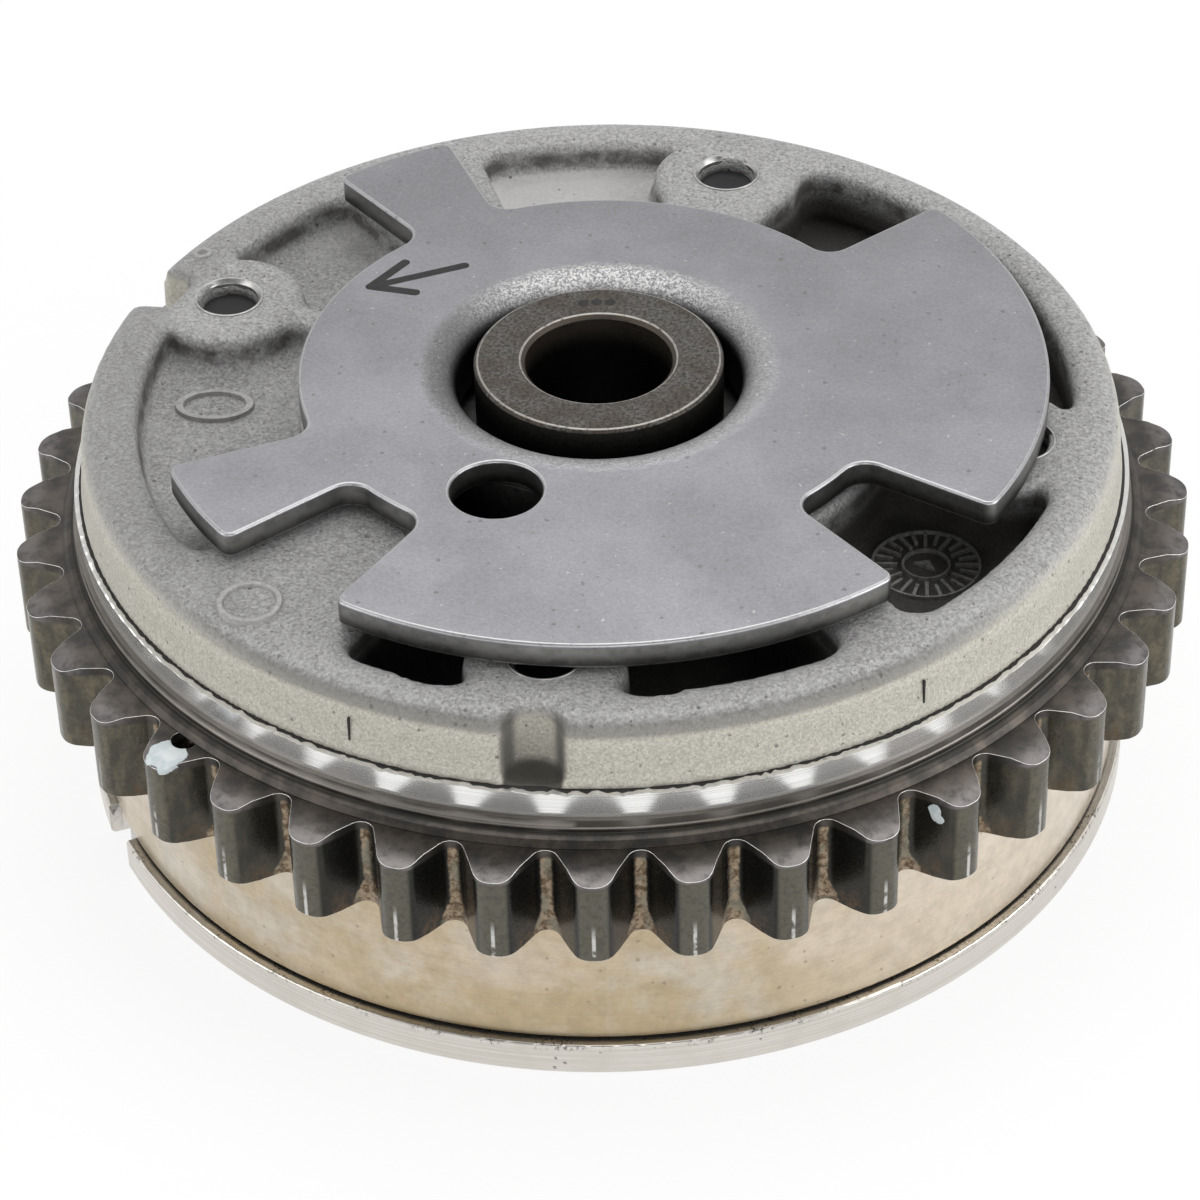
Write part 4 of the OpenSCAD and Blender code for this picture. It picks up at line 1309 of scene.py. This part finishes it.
    def _clock(self, raised: Material) -> None:
        """Raises the casting date clock on the floor of its pocket."""
        bm = bmesh.new()
        for radius, width in ((self.clock_r, 0.3), (self.clock_r * 0.45, 0.28)):
            spin_ring(bm, [(radius - width, -0.2), (radius, -0.2), (radius - 0.06, 0.28),
                           (radius - width + 0.06, 0.28)], 72)
        for k in range(24):
            tick = bmesh.ops.create_cube(bm, size=1.0)["verts"]
            inner = 0.62 if k % 2 else 0.52
            length = self.clock_r * (0.94 - inner)
            bmesh.ops.scale(bm, vec=(length, 0.3, 0.5), verts=tick)
            bmesh.ops.translate(bm, vec=(self.clock_r * inner + length / 2, 0, 0), verts=tick)
            bmesh.ops.rotate(bm, cent=(0, 0, 0),
                             matrix=Matrix.Rotation(math.radians(15 * k), 3, "Z"), verts=tick)
        arrow = bmesh.ops.create_cone(bm, cap_ends=True, segments=3, radius1=1.1, radius2=0.9,
                                      depth=0.5)["verts"]
        bmesh.ops.scale(bm, vec=(1.3, 0.7, 1.0), verts=arrow)
        place = polar(*self.clock_at, self.web_z + 0.05)
        bmesh.ops.transform(bm, matrix=Matrix.Translation(place)
                            @ Matrix.Rotation(math.radians(self.clock_at[1]), 4, "Z"),
                            verts=bm.verts)
        finish_piece(bm, "date_clock", Body.HOUSING, raised)

    def _holes(self, bare: Material) -> None:
        """Lines the mouth of each bolt hole with a bright bored ring."""
        bm = bmesh.new()
        r, z = self.bolt_r, self.top_z
        for turn in self.bolt_turns:
            ring = spin_ring(bm,
                             rounded([(r + 0.22, z - 2.0), (r + 0.9, z - 2.0), (r + 0.72, z + 0.03),
                                          (r + 0.56, z + 0.03), (r + 0.22, z - 0.4)],
                                         [0, 0, 0.05, 0.05, 0.1], 3), 64)
            bmesh.ops.translate(bm, verts=ring, vec=polar(self.bolt_at, turn))
        finish_piece(bm, "bolt_hole_rings", Body.HOUSING, bare)

    def _marks(self, raised: Material, dirt_and_shade: Material) -> None:
        """Raises plain foundry marks on the top and draws two slits on the wall.

        Args:
            raised: Finish of the raised marks.
            dirt_and_shade: Finish of the slits.
        """
        bm = bmesh.new()
        pad = spin_ring(bm, [(2.1, -0.2), (2.9, -0.2), (2.75, 0.4), (2.25, 0.4)], 48)
        bmesh.ops.scale(bm, vec=(1.3, 0.85, 1.0), verts=pad)
        bmesh.ops.translate(bm, verts=pad, vec=(*self.oval_at, self.pocket_z))
        ring = spin_ring(bm,
                         rounded([(2.1, -0.3), (3.0, -0.3), (2.8, 0.34), (2.3, 0.34)],
                                 [0, 0, 0.12, 0.12], 3), 64)
        bmesh.ops.translate(bm, verts=ring, vec=polar(*self.ring_at, self.top_z - 0.05))
        dot = spin_ring(bm, [(0.35, -0.1), (1.0, -0.1), (0.9, 0.22), (0.5, 0.22)], 32)
        bmesh.ops.translate(bm, verts=dot, vec=polar(*self.dot_at, self.top_z - 0.05))
        finish_piece(bm, "foundry_marks", Body.HOUSING, raised)
        # dark bars for the two slits: dirt and painted shade of the recess
        slits = bmesh.new()
        for turn in self.slit_turns:
            bar = bmesh.ops.create_cube(slits, size=1.0)["verts"]
            bmesh.ops.scale(slits, vec=self.slit_size, verts=bar)
            bmesh.ops.transform(slits,
                                matrix=Matrix.Translation(polar(self.cast_r - 0.32, turn,
                                                                self.slit_z))
                                @ Matrix.Rotation(math.radians(turn), 4, "Z"), verts=bar)
        bevel_sharp(slits, 0.04, 2)
        finish_piece(slits, "wall_slits", Body.HOUSING, dirt_and_shade)


@dataclass
class TriggerWheel:
    """Lobed trigger wheel with rounded stamped edges."""

    lobe_r: float = 40.6
    top_z: float = 41.2
    corner_r: float = 1.0
    edge_r: float = 0.27
    outline_from: float = 16.4
    arrow_tip: Pair = (-21.4, 12.6)
    arrow_ends: tuple[Pair, ...] = ((-12.8, 16.0), (-18.4, 16.6), (-17.2, 11.6))
    arrow_width: float = 0.9
    arrow_sink: float = 0.09

    def build(self, frame: dict, steel: Material, stamp: Material) -> None:
        """Builds the wheel and its stamped index arrow.

        Args:
            frame: The loaded frame.
            steel: Finish of the wheel.
            stamp: Finish of the arrow.
        """
        bm = cad_copy(frame, "trigger_wheel")

        def outline(edge: BMEdge) -> bool:
            """Tells whether an edge is on the outer outline or the round hole."""
            return all(math.hypot(v.co.x, v.co.y) > self.outline_from for v in edge.verts)

        def corner(edge: BMEdge) -> bool:
            """Tells whether an edge is an upright corner of a lobe."""
            a, b = (v.co for v in edge.verts)
            return abs(a.z - b.z) > 1.0 and abs(math.hypot(a.x, a.y) - self.lobe_r) < 0.05

        bevel_sharp(bm, self.corner_r, 5, 30.0, corner)
        round_out(bm, self.lobe_r, 3)
        for face in bm.faces:
            face[bm.faces.layers.float["edge"]] = 0.0
        bevel_sharp(bm, self.edge_r, 3, 40.0, outline)
        finish_piece(bm, "trigger_wheel_dressed", Body.ROTOR, steel,
                     ["trigger_wheel"], even=True)
        arrow = bmesh.new()
        z = self.top_z - self.arrow_sink
        for k, end in enumerate(self.arrow_ends):
            stroke(arrow, Vector((*self.arrow_tip, z)), Vector((*end, z)), self.arrow_width,
                   0.11 + 0.008 * k)
        finish_piece(arrow, "index_arrow", Body.ROTOR, stamp)


@dataclass
class Nose:
    """Nose of the centre sleeve with its bright chamfers."""

    bore_r: float = 6.7
    sleeve_r: float = 9.0
    nose_r: float = 11.3
    foot_z: float = 14.0
    seat_z: float = 33.5
    top_z: float = 41.78
    chamfer: float = 0.3
    bolt_chamfer: float = 0.4
    edge_r: float = 0.11
    dots_at: float = 8.9
    dot_turns: tuple[float, ...] = (84.0, 92.0, 100.0)

    def build(self, steel: Material, stamp: Material) -> None:
        """Builds the sleeve from its profile, and its punch dots.

        Args:
            steel: Finish of the sleeve.
            stamp: Finish of the dots.
        """
        bm = bmesh.new()
        c = self.chamfer
        spin_ring(bm,
                  [(self.bore_r, self.foot_z), (self.sleeve_r, self.foot_z),
                   (self.sleeve_r, self.seat_z),
                       (self.nose_r, self.seat_z), (self.nose_r, self.top_z - c),
                       (self.nose_r - c, self.top_z), (self.bore_r + self.bolt_chamfer, self.top_z),
                       (self.bore_r, self.top_z - self.bolt_chamfer)], 160)

        def rims(edge: BMEdge) -> bool:
            """Tells whether an edge is on the upper face."""
            return all(v.co.z > self.top_z - 0.01 for v in edge.verts)

        bevel_sharp(bm, self.edge_r, 2, 25.0, rims)
        finish_piece(bm, "nose_dressed", Body.ROTOR, steel, ["nose_bushing"],
                     even=True)
        dots = bmesh.new()
        for turn in self.dot_turns:
            punch = spin_ring(dots, [(0.0, -0.1), (0.5, -0.1), (0.5, 0.015), (0.0, 0.015)], 24)
            bmesh.ops.translate(dots, verts=punch, vec=polar(self.dots_at, turn, self.top_z))
        finish_piece(dots, "punch_dots", Body.ROTOR, stamp)


@dataclass
class Studio:
    """Camera of the photograph, white floor and soft light."""

    eye: Triple = (0.009142, -0.306002, 0.255772)
    turn: Triple = (51.6784, 1.16455, 0.87283)
    lens: float = 123.891
    fill: float = 0.42
    ceiling: float = 0.5
    room: float = 0.16

    def build(self) -> None:
        """Builds camera, world, floor and lamps."""
        scene = bpy.context.scene
        data = bpy.data.cameras.new("photo_camera")
        data.lens = self.lens
        data.sensor_width = 36.0
        data.sensor_fit = "HORIZONTAL"
        data.clip_start = 0.01
        camera = bpy.data.objects.new("photo_camera", data)
        camera.location = self.eye
        camera.rotation_euler = [math.radians(a) for a in self.turn]
        scene.collection.objects.link(camera)
        scene.camera = camera
        scene.view_settings.view_transform = "Standard"
        self._world(scene)
        self._floor(scene)
        self._lamp(scene, "overhead", (0.02, 0.18, 0.60), 0.60, 2.6)
        self._lamp(scene, "left_low", (-0.50, -0.20, 0.20), 0.40, 0.95)
        self._lamp(scene, "right_low", (0.52, -0.18, 0.20), 0.40, 1.75)
        self._lamp(scene, "front", (0.05, -0.60, 0.22), 0.30, 0.66)

    @staticmethod
    def _seen(sh: Shader) -> Socket:
        """Returns 1 for camera, glossy and transmission rays."""
        path = sh.node("ShaderNodeLightPath")
        seen = sh.math("MAXIMUM", path.outputs["Is Camera Ray"], path.outputs["Is Glossy Ray"])
        return sh.math("MAXIMUM", seen, path.outputs["Is Transmission Ray"])

    def _world(self, scene: Scene) -> None:
        """Makes the world: white to the camera, dimmer overhead and behind the camera to metal."""
        world = bpy.data.worlds.new("white_studio")
        world.use_nodes = True
        world.node_tree.nodes.clear()
        sh = Shader(world.node_tree)
        path = sh.node("ShaderNodeLightPath")
        split = sh.node("ShaderNodeSeparateXYZ")
        sh.put(split.inputs[0], sh.node("ShaderNodeTexCoord").outputs["Generated"])
        rise = sh.step(split.outputs[2], 0.05, 0.75)
        behind = sh.mul(sh.step(split.outputs[1], -0.1, -0.6), sh.step(split.outputs[2], 0.1, 0.4))
        sky = sh.blend(behind, sh.blend(rise, 1.0, self.ceiling), self.room)
        glossy = sh.math("MAXIMUM", path.outputs["Is Glossy Ray"],
                         path.outputs["Is Transmission Ray"])
        level = sh.blend(glossy, self.fill, sky)
        level = sh.blend(path.outputs["Is Camera Ray"], level, 1.0)
        back = sh.node("ShaderNodeBackground")
        out = sh.node("ShaderNodeOutputWorld")
        sh.put(back.inputs["Color"], (1.0, 1.0, 1.0))
        sh.put(back.inputs["Strength"], level)
        sh.put(out.inputs[0], back.outputs[0])
        scene.world = world

    def _floor(self, scene: Scene) -> None:
        """Lays the pale floor under the part."""
        bm = bmesh.new()
        bmesh.ops.create_grid(bm, x_segments=1, y_segments=1, size=3.0)
        mesh = bpy.data.meshes.new("floor")
        bm.to_mesh(mesh)
        bm.free()
        mat = bpy.data.materials.new("pale_floor")
        mat.use_nodes = True
        mat.node_tree.nodes.clear()
        sh = Shader(mat.node_tree)
        matt = sh.node("ShaderNodeBsdfDiffuse")
        matt.inputs["Color"].default_value = (0.9, 0.9, 0.9, 1)
        glow = sh.node("ShaderNodeEmission")
        mixed = sh.node("ShaderNodeMixShader")
        out = sh.node("ShaderNodeOutputMaterial")
        sh.put(mixed.inputs[0], sh.mul(self._seen(sh), 0.86))
        sh.put(mixed.inputs[1], matt.outputs[0])
        sh.put(mixed.inputs[2], glow.outputs[0])
        sh.put(out.inputs[0], mixed.outputs[0])
        mesh.materials.append(mat)
        floor = bpy.data.objects.new("floor", mesh)
        floor.location.z = -0.0002
        scene.collection.objects.link(floor)

    @staticmethod
    def _lamp(scene: Scene, name: str, place: Triple, size: float,
              power: float) -> None:
        """Hangs one soft square lamp that looks at the part.

        Args:
            scene: The scene.
            name: Name of the lamp.
            place: Where it hangs, in metres.
            size: Length of its sides.
            power: Power in watts.
        """
        data = bpy.data.lights.new(name, "AREA")
        data.shape = "SQUARE"
        data.size = size
        data.energy = power
        lamp = bpy.data.objects.new(name, data)
        lamp.location = place
        aim = Vector((0, 0, 0.02)) - Vector(place)
        lamp.rotation_euler = aim.to_track_quat("-Z", "Y").to_euler()
        scene.collection.objects.link(lamp)


class CamPhaser:
    """The whole part: builds its sub-assemblies in order."""

    INNER = {"lock_seat": HARD, "locating_dowel": HARD, "housing_bolts": BOLT, "rotor": SINTER,
             "lock_pin": HARD, "lock_spring": SPRING, "lock_pin_cap": SINTER, "vane_seals": SEAL,
             "vane_seal_springs": SPRING, "shoe_seals": SEAL, "shoe_seal_springs": SPRING}

    def __init__(self, frame: dict) -> None:
        """Keeps the frame and starts an empty store of finishes."""
        self.frame = frame
        self.fx = Effects()
        self.store: dict[str, Material] = {}

    def finish(self, finish: Finish) -> Material:
        """Returns the material of a finish, built on first use."""
        if finish.name not in self.store:
            self.store[finish.name] = finish.build(self.fx)
        return self.store[finish.name]

    def build(self) -> None:
        """Builds and dresses every piece."""
        RearPlate().build(self.frame, self.finish(RimFinish()))
        Stator().build(self.frame, self.finish(TurnedFinish()), self.finish(DIRT_AND_SHADE))
        Sprocket().build(self.frame, self.finish(OxideFinish()), self.finish(PAINT))
        FrontCover().build(self.frame, self.finish(CastFinish()), self.finish(LandFinish()),
                           self.finish(DIRT_AND_SHADE), self.finish(RAISED), self.finish(SOOT),
                           self.finish(BARE))
        TriggerWheel().build(self.frame, self.finish(WheelFinish()), self.finish(STAMP))
        Nose().build(self.finish(NoseFinish()), self.finish(STAMP))
        for node, finish in self.INNER.items():
            mesh = self.frame["nodes"][node].data
            mesh.materials.clear()
            mesh.materials.append(self.finish(finish))


def main() -> None:
    """Loads the frame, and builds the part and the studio."""
    logging.basicConfig(level=logging.INFO, format="%(name)s: %(message)s")
    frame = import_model()
    Studio().build()
    CamPhaser(frame).build()


if __name__ == "__main__":
    main()
